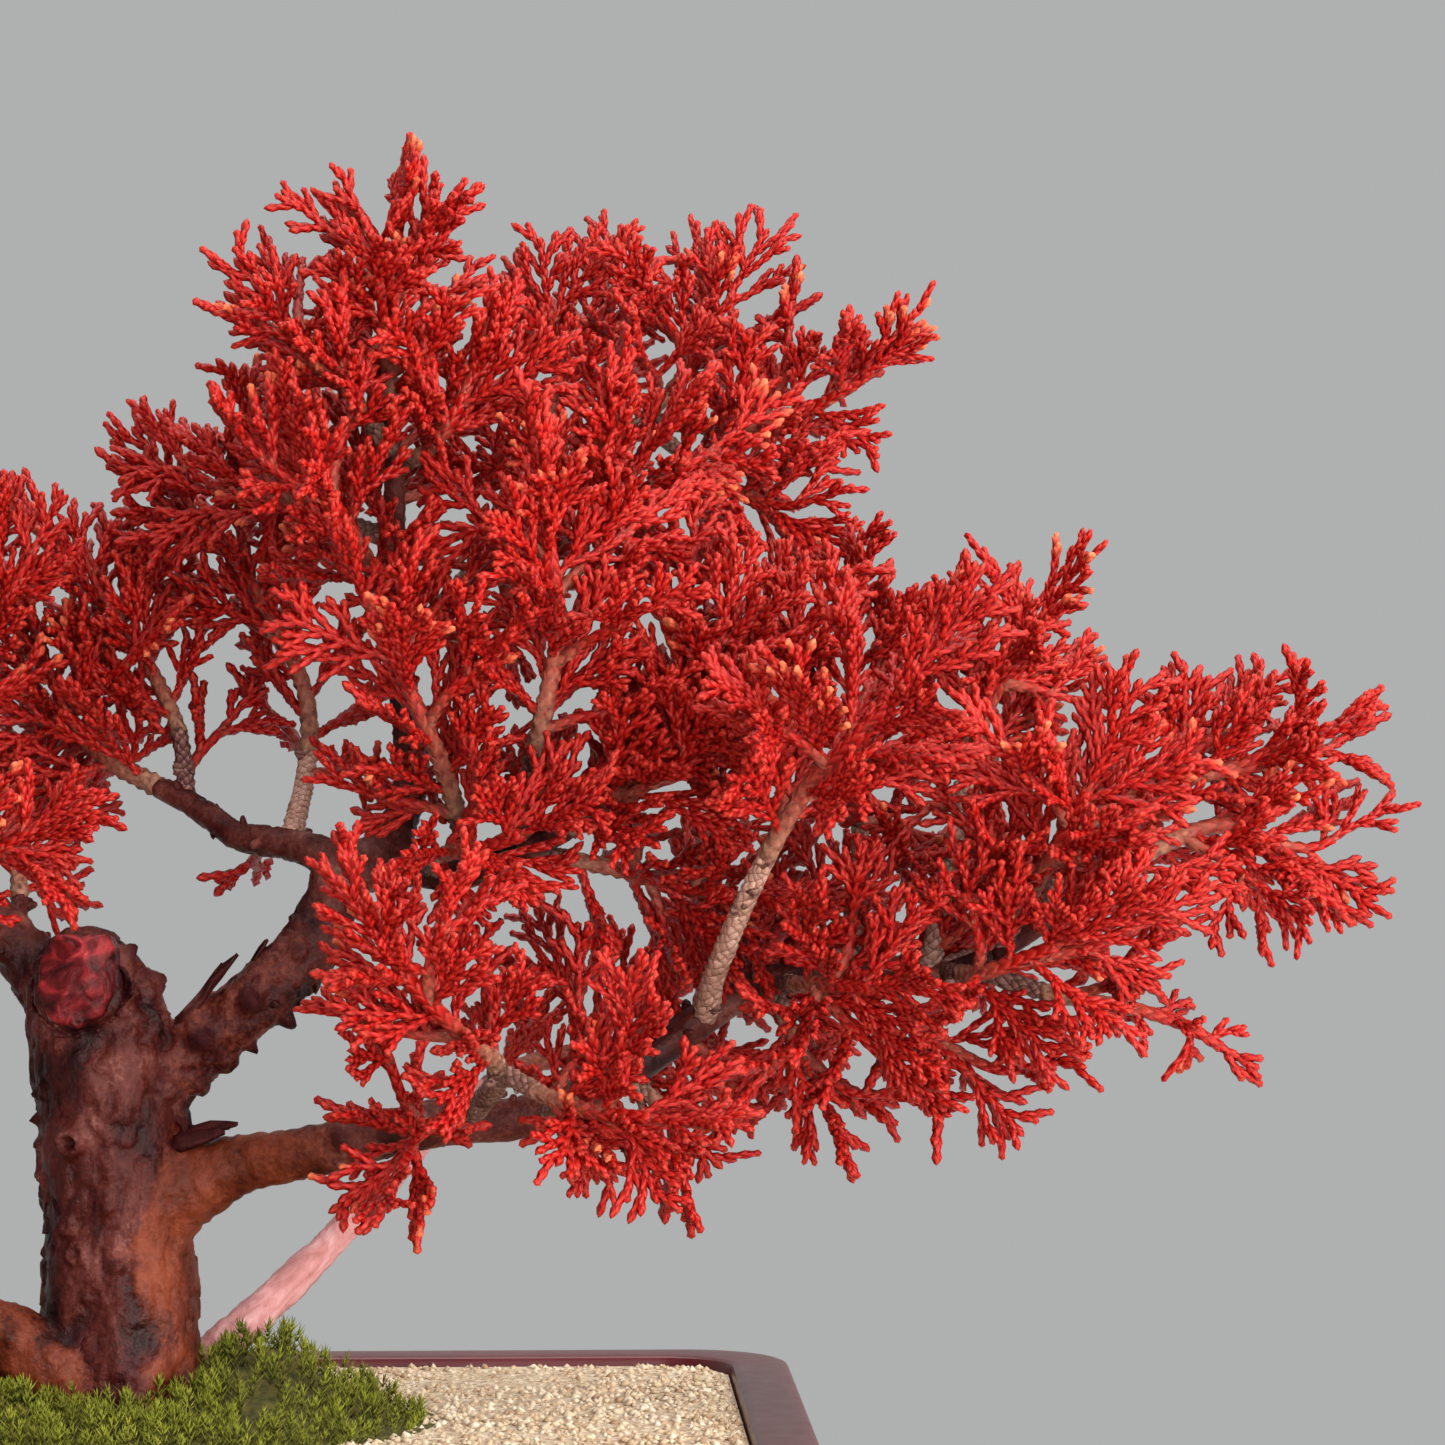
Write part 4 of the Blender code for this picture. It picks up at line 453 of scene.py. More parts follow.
def stem_fans(rng, line, start, lift, size, step, least):
    """Fans all round a stem from a share of its length on, and one at its tip."""
    along = lengths_along(line)
    fans = []
    span = along[-1] * (1 - start)
    n = max(least, round(span / step))
    phase = rng.uniform(0, math.tau)
    for i in range(n):
        p, d = at(line, along, along[-1] * start + 2.0 + (span - 3.5) * i / (n - 1) * 0.97)
        phase += GOLDEN
        u = square_to(d, UP)
        around = u * math.cos(phase) + np.cross(d, u) * math.sin(phase)
        heading = unit(d * rng.uniform(0.45, 0.9) + around + UP * lift)
        hint = UP * rng.uniform(-0.2, 0.9) + np.array([rng.uniform(-1, 1) for _ in range(3)])
        fans.append(fan(rng, p, heading, hint, size * rng.uniform(0.8, 1.1)))
    tip = unit(line[-1] - line[-2])
    hint = UP * 0.3 + np.array([rng.uniform(-1, 1) for _ in range(3)])
    fans.append(fan(rng, line[-1] - tip, unit(tip + UP * lift * 0.5), hint, size * 1.05))
    return fans


def fans_of(name):
    """The fans of a limb's leafy end."""
    _, _, start, lift, size, route = LIMBS[name]
    rng = random.Random(SEED + sum(map(ord, name)))
    return stem_fans(rng, rounded(route, 3.0), start, lift, size, FAN_STEP, 4)


def twigs_of(name):
    """Routes and fans of the short twigs on a limb."""
    line = rounded(LIMBS[name][5], 1.0)
    along = lengths_along(line)
    twigs = []
    for i, (parent, share, tip, size) in enumerate(TWIGS):
        if parent != name:
            continue
        rng = random.Random(SEED * 7 + i)
        root, way = at(line, along, along[-1] * share)
        tip = np.array(tip, float)
        length = np.linalg.norm(tip - root)
        middle = (root + tip) / 2 + way * length * 0.12 - UP * length * 0.06
        route = rounded((root, middle, tip), 1.5)
        first = min(0.5, 3.0 / length)
        twigs.append((route, stem_fans(rng, route, first, 0.3, size, TWIG_STEP, 2)))
    return twigs


# Meshes


def to_frame(places):
    """Millimetres from the trunk's axis at the rim as metres of the frame."""
    return (np.array(places) + TRUNK_AXIS) * MM


def new_object(name, data):
    thing = bpy.data.objects.new(name, data)
    bpy.context.scene.collection.objects.link(thing)
    return thing


def new_piece(name, points, faces):
    mesh = bpy.data.meshes.new(name)
    mesh.from_pydata(np.asarray(points).tolist(), [], faces)
    mesh.shade_smooth()
    return new_object(name, mesh)


def with_modifiers(piece):
    """A new mesh of the piece after its modifiers."""
    bpy.context.view_layer.update()
    return bpy.data.meshes.new_from_object(piece.evaluated_get(bpy.context.evaluated_depsgraph_get()))


class Shape:
    """Gathers points, faces with their material slots, and two values that materials read.

    tone holds up to three shares for each point, and grain holds where the point would be if
    its limb were straight and upright.
    """

    def __init__(self):
        self.points, self.faces, self.slots, self.tones, self.grains = [], [], [], [], []
        self.count = 0

    def add(self, points, faces, slot=0, tone=(0, 0, 0), grain=None):
        points = np.asarray(points, float).reshape(-1, 3)
        self.points.append(points)
        for group in faces:
            self.faces += (np.asarray(group) + self.count).tolist()
            self.slots += [slot] * len(group)
        self.tones.append(np.broadcast_to(np.asarray(tone, float), (len(points), 3)))
        self.grains.append(points if grain is None else np.asarray(grain, float).reshape(-1, 3))
        self.count += len(points)

    def make(self, name, materials, node=None):
        piece = new_piece(name, to_frame(np.concatenate(self.points)), self.faces)
        mesh = piece.data
        mesh.polygons.foreach_set("material_index", self.slots)
        tones = np.concatenate(self.tones)
        tones = np.hstack((tones, np.ones((len(tones), 1))))
        mesh.attributes.new("tone", "FLOAT_COLOR", "POINT").data.foreach_set("color", tones.ravel())
        grains = np.concatenate(self.grains) * MM
        mesh.attributes.new("grain", "FLOAT_VECTOR", "POINT").data.foreach_set("vector", grains.ravel())
        for material in materials:
            mesh.materials.append(material)
        mesh.update()
        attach(piece, "root")
        if node:
            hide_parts(node)
        return piece


def grid(rows, columns, meets=True):
    """Four-sided faces between rows of points, where each row runs round and meets or ends."""
    j = np.arange(columns if meets else columns - 1)
    k, j = np.meshgrid(np.arange(rows - 1), j, indexing="ij")
    a, b = k * columns + j, k * columns + (j + 1) % columns
    return np.stack((a, b, b + columns, a + columns), axis=-1).reshape(-1, 4)


def skin_faces(rings, sides, tip=True):
    """Faces of a closed tube: its side, its base and, with a point past the last ring, its tip."""
    j, last = np.arange(sides), (rings - 1) * sides
    end = (last + j)[None]
    if tip:
        end = np.stack((last + j, last + (j + 1) % sides, np.full(sides, rings * sides)), axis=1)
    return [grid(rings, sides), j[::-1][None], end]


def stations(points, step):
    """A line's points at equal steps, their distances along it, and three unit vectors for each.

    Two are square to the line, and twist as little as they can. The third runs along it.
    """
    length = lengths_along(points)[-1]
    marks = np.linspace(0, length, max(4, round(length / step)) + 1)
    line = evenly(points, marks)
    ways = unit(np.gradient(line, axis=0))
    u = square_to(ways[0], np.array((0.2, -1.0, 0.3)))
    across = []
    for way in ways:
        u = square_to(way, u)
        across.append(u)
    return line, marks, np.array(across), np.cross(ways, across), ways


def by_turns(rings, sides):
    """1 and -1 by turns, round each ring and from ring to ring."""
    return 1 - 2 * (np.add.outer(np.arange(rings), np.arange(sides)) % 2)


def add_tube(shape, line, u, w, r, tip, heights, tones, slot=0):
    """A closed tube that ends in a point. r has a radius for each point of each ring."""
    rings, sides = r.shape
    turns = math.tau * np.arange(sides) / sides
    c, s = np.cos(turns), np.sin(turns)
    rim = u[:, None] * c[None, :, None] + w[:, None] * s[None, :, None]
    points = (line[:, None] + rim * r[..., None]).reshape(-1, 3)
    upright = np.stack((r * c, r * s, np.broadcast_to(heights[:-1, None], r.shape)), axis=-1)
    grain = np.vstack((upright.reshape(-1, 3), (0, 0, heights[-1])))
    shape.add(np.vstack((points, tip)), skin_faces(rings, sides), slot, tones, grain)


# Foliage


def add_cord(shape, points, normal, level, tone, tip_tone):
    """A cord of overlapping scale leaves: four-sided rings whose corners stand out by turns."""
    length = lengths_along(points)[-1]
    n = max(3, round(length / RING_STEP))
    marks = np.linspace(0, length, n + 1)
    marks[-1] -= 0.3
    line = evenly(points, marks)
    ways = unit(np.gradient(line, axis=0))
    u = unit(normal - ways * (ways @ normal)[:, None])
    share = marks / length
    radii = CORD_RADII[level] * (1.0 - 0.08 * share)
    radii[-1] *= 0.84
    tones = np.zeros((4 * (n + 1) + 1, 3))
    tones[:, 0] = tone
    tones[:-1, 1] = np.repeat(np.clip(1 - (length - marks) / 1.8, 0, 1) * tip_tone, 4)
    tones[-1, 1] = tip_tone
    if level == 0:
        tones[:-1, 2] = np.repeat(np.clip(0.5 - share / 0.3, 0, 1), 4)
    r = radii[:, None] * (1 + BRAID * by_turns(n + 1, 4))
    heights = np.append(np.arange(n + 1), n + 0.5) * RING_STEP
    add_tube(shape, line, u, np.cross(ways, u) * 0.9, r, points[-1] + ways[-1] * 0.1, heights, tones)


def add_stem(shape, line, radii, woody, rng, step=0.9, sides=7):
    """A leafy stem, covered in old scale leaves. woody gives how brown it is at both ends."""
    line, marks, u, w, ways = stations(line, step)
    share = marks / marks[-1]
    radii = np.interp(share, np.linspace(0, 1, len(radii)), radii)
    rough = np.array([[rng.uniform(-0.06, 0.1) for _ in range(sides)] for _ in marks])
    r = radii[:, None] * (1 + 0.1 * by_turns(len(marks), sides) + rough)
    tones = np.zeros((r.size + 1, 3))
    tones[:, 0] = 0.4
    tones[:-1, 2] = np.repeat(np.clip(woody[0] + (woody[1] - woody[0]) * share, 0, 1), sides)
    add_tube(shape, line, u, w, r, line[-1] + ways[-1] * 0.5, np.append(marks, marks[-1] + 0.5), tones)


def add_fans(shape, fans, rng):
    for normal, cords in fans:
        fan_tone = rng.uniform(0.15, 0.85)
        tipped = rng.random() < 0.12
        for level, points in cords:
            tone = min(1, max(0, fan_tone + rng.uniform(-0.22, 0.22)))
            tip_tone = rng.uniform(0.2, 0.8) if tipped and rng.random() < 0.5 else rng.uniform(0, 0.06)
            add_cord(shape, points, normal, level, tone, tip_tone)


def build_foliage(material):
    """A piece for each spray of the frame: its stem, its twigs and all their cords."""
    for name, (_, _, start, _, _, route) in LIMBS.items():
        if start >= 1:
            continue
        rng = random.Random(SEED * 3 + sum(map(ord, name)))
        shape = Shape()
        line = rounded(route, 1.0)
        along = lengths_along(line)
        leafy = along >= along[-1] * start - 1.2
        radii = radius_at(name, along[leafy] / along[-1]) * 1.02
        add_stem(shape, line[leafy], radii, (1.1, -0.5), rng)
        add_fans(shape, fans_of(name), rng)
        for route, fans in twigs_of(name):
            add_stem(shape, route, (0.95, 0.7), (0.7, -0.4), rng, 1.1, 5)
            add_fans(shape, fans, rng)
        shape.make(f"foliage_{name}", [material], f"spray_{name}")


# Wood


def waves(p, scale, stretch=1.0):
    """Soft noise from -1 to 1 at a point, stretched along its third coordinate."""
    return noise.noise(Vector((p[0] * scale, p[1] * scale, p[2] * scale / stretch)))


def add_limb(shape, points, radii, slot, sides, swell, tone=(0, 0, 0), step=0.8):
    """A closed tube round a smooth line. swell gives its extra radius at its straightened places."""
    line, marks, u, w, ways = stations(points, step)
    radii = np.interp(marks, lengths_along(points), radii)
    ring = [(math.cos(a), math.sin(a)) for a in math.tau * np.arange(sides) / sides]
    r = np.array([
        [r + swell((r * c, r * s, mark), r, turn) for (c, s), turn in zip(ring, turns)]
        for r, mark, turns in zip(radii, marks, by_turns(len(marks), sides))
    ])
    tip = line[-1] + ways[-1] * radii[-1] * 0.45
    add_tube(shape, line, u, w, r, tip, np.append(marks, marks[-1] + radii[-1]), tone, slot)
    return line, radii, u, w


def trunk_swell(p, r, turn):
    """Flutes of the trunk, which spread into roots at its foot."""
    flutes = waves(p, 0.16, 5.0) * 0.9 * min(1, max(0.25, 1.1 - p[2] / 60))
    roots = 0.4 + 0.6 * math.sin(math.atan2(p[1], p[0]) * 5 + 1)
    return flutes + 1.8 * math.exp(-max(0, p[2] - 1) / 3.5) * roots


def collar(size, reach):
    """Swelling of a limb where it leaves the trunk, with lengthwise lumps further on."""
    def swell(p, r, turn):
        return size * math.exp(-((p[2] / reach) ** 2)) + waves(p, 0.3, 1.6) * 0.09 * r
    return swell


def twig_swell(p, r, turn):
    """Rough old scale leaves on a twig."""
    return r * (0.07 * turn + 0.16 * waves(p, 0.8, 0.9) + 0.08 * waves(p, 2.1, 1.0))


def bare_part(name):
    """Points and radii of a limb up to where its leaves begin."""
    start, route = LIMBS[name][2], LIMBS[name][5]
    line = rounded(route, 1.0)
    along = lengths_along(line)
    share = along / along[-1]
    kept = share <= start + 0.01
    return line[kept], radius_at(name, share[kept])


def smoothed(values, edges, rounds, share=0.5):
    """Values at the points of a mesh, evened out with those of their neighbours."""
    count = np.bincount(edges.ravel(), minlength=len(values))[:, None]
    for _ in range(rounds):
        near = np.zeros_like(values)
        for k in range(values.shape[1]):
            near[:, k] = np.bincount(edges[:, 0], values[edges[:, 1], k], len(values))
            near[:, k] += np.bincount(edges[:, 1], values[edges[:, 0], k], len(values))
        values = values * (1 - share) + near / count * share
    return values


def read(items, field, each, kind=float):
    """A field of all points, edges or corners of a mesh, which has so many values in each."""
    values = np.empty(len(items) * each, kind)
    items.foreach_get(field, values)
    return values.reshape(-1, each)


def one_skin(rough, voxel):
    """A single skin round tubes that cross: its points, four-sided faces, normals, tones and grain."""
    points = np.concatenate(rough.points)
    holder = new_piece("rough_wood", points, rough.faces)
    remesh = holder.modifiers.new("skin", "REMESH")
    remesh.mode, remesh.voxel_size = "VOXEL", voxel
    skin = with_modifiers(holder)
    bpy.data.objects.remove(holder)
    places = read(skin.vertices, "co", 3)
    edges = read(skin.edges, "vertices", 2, int)
    faces = read(skin.loops, "vertex_index", 1, int).reshape(-1, 4)
    tree = kdtree.KDTree(len(points))
    for i, point in enumerate(points):
        tree.insert(point, i)
    tree.balance()
    nearest = np.array([tree.find(place)[1] for place in places])
    tones = smoothed(np.concatenate(rough.tones)[nearest], edges, 8)
    grains = smoothed(np.concatenate(rough.grains)[nearest], edges, 3)
    places = smoothed(places, edges, 3)
    skin.vertices.foreach_set("co", places.ravel())
    skin.update()
    return places, faces, read(skin.vertex_normals, "vector", 3), tones, grains


def bark_relief(place, grain, wrinkled):
    """Height of the bark: torn plates and fissures, or wrinkles round a limb."""
    plate = waves(place, 0.2, 1.5) + 0.35 * waves(place + (0, 5, 0), 0.7, 1.5)
    step = min(1, max(0, (plate + 0.02) / 0.06)) * 0.55
    fissure = -0.75 * max(0, 1 - abs(waves(place + (0, 31, 0), 0.2, 2.2)) / 0.04)
    flaky = step + fissure + waves(place, 0.6, 2.0) * 0.3
    rings = math.sin((grain[2] + waves(place, 0.3) * 1.5) * 2.4) * 0.26 * math.exp(-grain[2] / 30)
    smooth = rings + waves(place, 0.35) * 0.25
    return flaky + (smooth - flaky) * wrinkled + waves(place, 1.7, 1.5) * 0.12 - 0.12


def knot_relief(places):
    """Height and painted shade of the knots at points of the bark: a ring round a hollow, or a low mound.
    The darkness is painted shade where each knot's hollow is.
    """
    height, dark = np.zeros(len(places)), np.zeros(len(places))
    for middle, radius, rise, hollow in KNOTS:
        away = np.linalg.norm(places - np.array(middle), axis=1) / radius
        ring = np.exp(-(((away - 0.72) / 0.3) ** 2)) - 0.9 * np.exp(-((away / 0.4) ** 2))
        mound = np.exp(-((away / 0.78) ** 3))
        height += rise * (mound + (ring - mound) * min(1, hollow * 2) * (hollow < 0.9))
        # painted shade where the knot's hollow is
        dark += hollow * np.exp(-((away / (0.55 + 0.35 * hollow)) ** 4))
    return height, np.minimum(dark, 1)


def add_flap(shape, rng, foot, out, along, size, wide, tone):
    """A torn plate of bark with a ragged free end, where it is lifted a little."""
    side = np.cross(out, along)
    lift, lean = size * rng.uniform(0.0, 0.14), rng.uniform(-0.2, 0.2)
    first = rng.uniform(0, math.tau)
    rows, columns = FLAP_GRID
    reaches = [0.86 + 0.14 * math.sin(first + 1.2 * j) + rng.uniform(-0.06, 0.06) for j in range(columns)]
    down = np.arange(rows) / (rows - 1)
    top, grain = [], []
    for t in down:
        for j, ragged in enumerate(reaches):
            s = j / (columns - 1) - 0.5
            reach = t * ragged * (1 - 1.1 * s * s)
            sideways = wide * s * (1 - 0.3 * t + rng.uniform(-0.06, 0.06)) + wide * lean * t * t
            up = lift * t**1.6 + wide * rng.uniform(-0.03, 0.03) - wide * s * s * 0.6 * (1 - 0.6 * t)
            top.append(foot + along * size * reach + side * sideways + out * up)
            grain.append((3 + wide * s, 0.2, size * t))
    top = np.array(top)
    depth = (0.3 + 0.2 * wide) * (1 - 0.5 * np.repeat(down, columns))[:, None]
    depth *= np.array([1 + 0.35 * waves(p, 1.1) for p in top])[:, None]
    under = top - out * (depth + 0.05)
    upper = grid(rows, columns, False)
    lower = upper[:, ::-1] + rows * columns
    spots = np.arange(rows * columns).reshape(rows, columns)
    rim = np.concatenate((spots[0], spots[1:, -1], spots[-1, -2::-1], spots[-2:0:-1, 0]))
    ahead = np.roll(rim, -1)
    edge = np.stack((rim, rim + rows * columns, ahead + rows * columns, ahead), axis=1)
    shape.add(np.vstack((top, under)), [upper, lower, edge], BARK, tone, grain * 2)


def scatter_flaps(shape, rng, stem, count, first, last, sizes, tone):
    """Flaps of torn bark at seeded places on a limb."""
    line, radii, u, w = stem
    for _ in range(count):
        k = int((first + (last - first) * rng.random()) * (len(line) - 2))
        a = rng.uniform(0, math.tau)
        out = u[k] * math.cos(a) + w[k] * math.sin(a)
        way = unit(line[k + 1] - line[k])
        along = unit(way * rng.choice((-1, 1, 1)) + out * 0.1 + np.cross(out, way) * rng.uniform(-0.5, 0.5))
        size = rng.uniform(*sizes)
        foot = line[k] + out * (radii[k] + 0.02)
        add_flap(shape, rng, foot, out, along, size, size * rng.uniform(0.6, 1.1), tone)


def add_spur(shape, root, tip, radius, slot, tone):
    """The blunt remains of a small twig or bud."""
    way = unit(tip - root)
    u = square_to(way, UP)
    w = np.cross(way, u)
    points = []
    for wide, high in SPUR_RINGS:
        for a in math.tau * np.arange(SPUR_SIDES) / SPUR_SIDES:
            c, s = math.cos(a), math.sin(a)
            rough = 1 + 0.35 * waves((root[0] + 3 * c, 3 * s, root[2] + 3 * high), 1.0)
            points.append(root + (tip - root) * high + (u * c + w * s) * radius * wide * rough)
    points.append(tip)
    shape.add(points, skin_faces(len(SPUR_RINGS), SPUR_SIDES), slot, tone)


def thick_wood():
    """The trunk, the stump's socket and the thick limbs in one skin with relief, and their stems."""
    rough = Shape()
    route = np.array([(x, y, z) for z, x, y, _ in TRUNK])
    smooth = rounded(route, 1.0)
    stops = lengths_along(route)
    marks = lengths_along(smooth) * stops[-1] / lengths_along(smooth)[-1]
    radii = np.interp(marks, stops, [t[3] for t in TRUNK])
    stems = {"trunk": add_limb(rough, smooth, radii, BARK, 72, trunk_swell)}
    base, tip = np.array(STUMP[0], float), np.array(STUMP[1], float)
    line = np.array([base + (tip - base) * t for t in np.linspace(0, 0.86, 12)])
    add_limb(rough, line, np.full(12, STUMP[2]), BARK, 40, collar(0.5, 3.0), (0.1, 0, 0))
    for name, (warm, pale, wrinkled, size, reach) in THICK_LIMBS.items():
        line, radii = bare_part(name)
        sides = 40 if radii[0] > 3.5 else 24
        stems[name] = add_limb(rough, line, radii, BARK, sides, collar(size, reach), (warm, pale, wrinkled))
    places, faces, normals, tones, grains = one_skin(rough, SKIN_STEP)
    # The trunk's lower right is orange where the old bark has gone
    near_trunk = np.exp(-((np.maximum(0, np.hypot(places[:, 0], places[:, 1]) - 11) / 4) ** 2))
    bare = places[:, 0] * 0.16 - places[:, 1] * 0.03 - 0.75
    bare += np.array([1.2 * waves(p, 0.12, 2.0) + 0.5 * waves(p, 0.5, 2.0) for p in places])
    bare *= np.clip((44 - places[:, 2]) / 12, 0, 1) * near_trunk
    tones[:, 0] = np.clip(tones[:, 0] + np.clip(bare * 1.6, 0, 1), 0, 1)
    # The low bough is orange only near the trunk
    tones[:, 0] *= 1 - 0.85 * np.clip((places[:, 0] - 25) / 8, 0, 1)
    relief = np.array([bark_relief(p, g, t[2]) for p, g, t in zip(places, grains, tones)])
    knots, dark = knot_relief(places)
    relief = relief * np.minimum(1, 0.35 + 0.12 * np.linalg.norm(grains[:, :2], axis=1)) + knots
    # The third share is the painted shade of the knots' hollows
    tones[:, 2] = dark
    crumbled = np.exp(-((np.linalg.norm(places - np.array(CRUMBLED), axis=1) / CRUMBLED_REACH) ** 2))
    relief += crumbled * np.array([2.0 * waves(p, 0.5) + 1.1 * waves(p, 1.2) for p in places])
    shape = Shape()
    shape.add(places + normals * relief[:, None], [faces], BARK, tones, grains)
    return shape, stems


def build_wood(materials):
    """Trunk and thick limbs in one skin, thin limbs as they are, torn bark, and the cut stump."""
    rng = random.Random(SEED + 5)
    shape, stems = thick_wood()
    build_stump(shape, rng)
    for name, count, first, last, sizes, tone in FLAPS:
        scatter_flaps(shape, rng, stems[name], count, first, last, sizes, tone)
    for foot, out, along, size, wide, dark in TORN_BARK:
        out, along = unit(np.array(out)), unit(np.array(along))
        add_flap(shape, rng, np.array(foot), out, along, size, wide, (0, 0, dark))
    for name in LIMBS:
        stem, slot = stems.get(name), BARK
        if stem is None:
            tan = TAN_LIMBS.get(name, rng.uniform(0, 0.3))
            line, radii = bare_part(name)
            if len(line) < 4:
                continue
            stem, slot = add_limb(shape, line, radii, TWIG, 10, twig_swell, (tan, 0, 0), 0.75), TWIG
        line, radii, u, w = stem
        for _ in range(0 if name == "pink_limb" else int(len(line) / 9)):
            k = rng.randrange(1, len(line) - 1)
            a = rng.uniform(0, math.tau)
            out = unit(u[k] * math.cos(a) + w[k] * math.sin(a) + unit(line[k] - line[k - 1]) * 0.5)
            size = rng.uniform(0.35, 0.7) * min(1.6, radii[k]) ** 0.5
            root = line[k] + out * (radii[k] - 0.4)
            add_spur(shape, root, root + out * rng.uniform(0.9, 2.2), size, slot, (0.15, 0, 0))
    shape.make("wood", materials, "tree_wood")


def build_stump(shape, rng):
    """The sawn face of the old leader: a few flat cuts with a small hollow, and torn bark round it."""
    middle, tip = np.array(STUMP[0], float), np.array(STUMP[1], float)
    way = unit(tip - middle)
    u = square_to(way, np.array((1.0, 0, 0)))
    w = np.cross(way, u)
    for k in range(STUMP_FLAPS):
        a = math.tau * (k + rng.uniform(-0.3, 0.3)) / STUMP_FLAPS
        out = u * math.cos(a) + w * math.sin(a)
        foot = middle + (tip - middle) * rng.uniform(0.45, 0.62) + out * (STUMP[2] + rng.uniform(0, 0.5))
        along = unit(way + out * rng.uniform(0.05, 0.35) + np.cross(out, way) * rng.uniform(-0.3, 0.3))
        add_flap(shape, rng, foot, out, along, rng.uniform(2.8, 4.6), 3.4, (0, 0, rng.uniform(0.2, 0.8)))
    bm = bmesh.new()
    for x, z, depth in STUMP_FACE:
        bm.verts.new(tip + u * x + w * z + way * depth)
    for x, z, depth in STUMP_FACE:
        if depth == 0:
            bm.verts.new(tip + u * x * 1.04 + w * z * 1.04 - way * 5)
    bmesh.ops.convex_hull(bm, input=bm.verts)
    bmesh.ops.triangulate(bm, faces=bm.faces)
    bmesh.ops.bevel(bm, geom=bm.edges, offset=0.22, segments=1, affect="EDGES", clamp_overlap=True)
    bmesh.ops.triangulate(bm, faces=bm.faces)
    bmesh.ops.subdivide_edges(bm, edges=bm.edges, cuts=3, use_grid_fill=True)
    bmesh.ops.triangulate(bm, faces=bm.faces)
    bmesh.ops.recalc_face_normals(bm, faces=bm.faces)
    bm.normal_update()
    bm.verts.index_update()
    hollow = tip + u * STUMP_HOLLOW[0] + w * STUMP_HOLLOW[1]
    points = []
    for v in bm.verts:
        dip = -1.1 * math.exp(-((np.linalg.norm(np.array(v.co) - hollow) / 1.5) ** 2))
        points.append(np.array(v.co + v.normal * (dip + waves(v.co, 0.9) * 0.2 + waves(v.co, 2.5) * 0.07)))
    shape.add(points, [np.array([[v.index for v in f.verts] for f in bm.faces])], CUT)
    bm.free()
# Ground


def moss_edge(a):
    """How far the moss reaches from the trunk's axis in direction a."""
    x, y = math.cos(a), math.sin(a)
    p = (x / MOSS_X) ** 2 + (y / MOSS_Y) ** 2
    q = -2 * (x * MOSS_MIDDLE[0] / MOSS_X**2 + y * MOSS_MIDDLE[1] / MOSS_Y**2)
    c = (MOSS_MIDDLE[0] / MOSS_X) ** 2 + (MOSS_MIDDLE[1] / MOSS_Y) ** 2 - 1
    r = (-q + math.sqrt(q * q - 4 * p * c)) / (2 * p)
    return r * (1 + 0.035 * math.sin(3 * a + 0.6) + 0.03 * math.sin(5 * a + 2) + 0.015 * math.sin(9 * a))


def moss_height(x, y):
    hump = 9.4 * math.exp(-((x - 24) ** 2 + (y + 3) ** 2) / 170)
    hump += 2.6 * math.exp(-((x + 20) ** 2 + (y + 14) ** 2) / 150)
    share = min(1, math.hypot(x, y) / moss_edge(math.atan2(y, x)))
    return -2.2 + (4.2 + hump) * (1 - share**3) + waves((x, y, 0), 0.16) * 1.0 + waves((x, y, 5), 0.5) * 0.4


def build_moss(material):
    """A low cushion, whose edge goes down into the sand, under upright shoots."""
    rng = random.Random(SEED + 11)
    shape = Shape()
    points = []
    for share in MOSS_RINGS:
        for a in math.tau * np.arange(MOSS_SIDES) / MOSS_SIDES:
            r = moss_edge(a) * share
            x, y = r * math.cos(a), r * math.sin(a)
            points.append((x, y, max(moss_height(x, y) - 0.8, SAND_TOP + 0.1)))
    for a in math.tau * np.arange(MOSS_SIDES) / MOSS_SIDES:
        r = moss_edge(a) * 1.01
        points.append((r * math.cos(a), r * math.sin(a), MOSS_FOOT))
    faces = np.roll(grid(len(MOSS_RINGS) + 1, MOSS_SIDES)[:, ::-1], 1, axis=1)
    shape.add(points, [faces], 0, (0.1, 0, 1))
    shoots = [moss_shoot(rng) for _ in range(12)]
    for _ in range(MOSS_SHOOTS):
        a, share = rng.uniform(0, math.tau), math.sqrt(rng.uniform(0.09, 0.99))
        r = moss_edge(a) * share
        x, y = r * math.cos(a), r * math.sin(a)
        points, rise = rng.choice(shoots)
        turn, size = rng.uniform(0, math.tau), rng.uniform(0.75, 1.25) * (1.0 if share < 0.9 else 0.8)
        lean = [rng.gauss(0.0, 0.22) + 0.3 * share * way for way in (math.cos(a), math.sin(a))]
        c, s = math.cos(turn), math.sin(turn)
        placed = points @ np.array(((c, s, 0), (-s, c, 0), (0, 0, 1))) * size
        placed[:, :2] += np.array(lean) * placed[:, 2:] * 0.6
        clump = 0.5 + 0.5 * waves((x, y, 3), 0.2)
        tone = min(1, max(0, clump + rng.uniform(-0.25, 0.25)))
        tones = np.stack((np.full(len(rise), tone), rise, np.zeros(len(rise))), axis=1)
        foot = np.array((x, y, moss_height(x, y) - 1.4 + rng.uniform(-0.4, 0.5)))
        shape.add(placed + foot, [NEEDLE_FACES + 4 * k for k in range(len(rise) // 4)], 0, tones)
    shape.make("moss_tufts", [material], "moss")


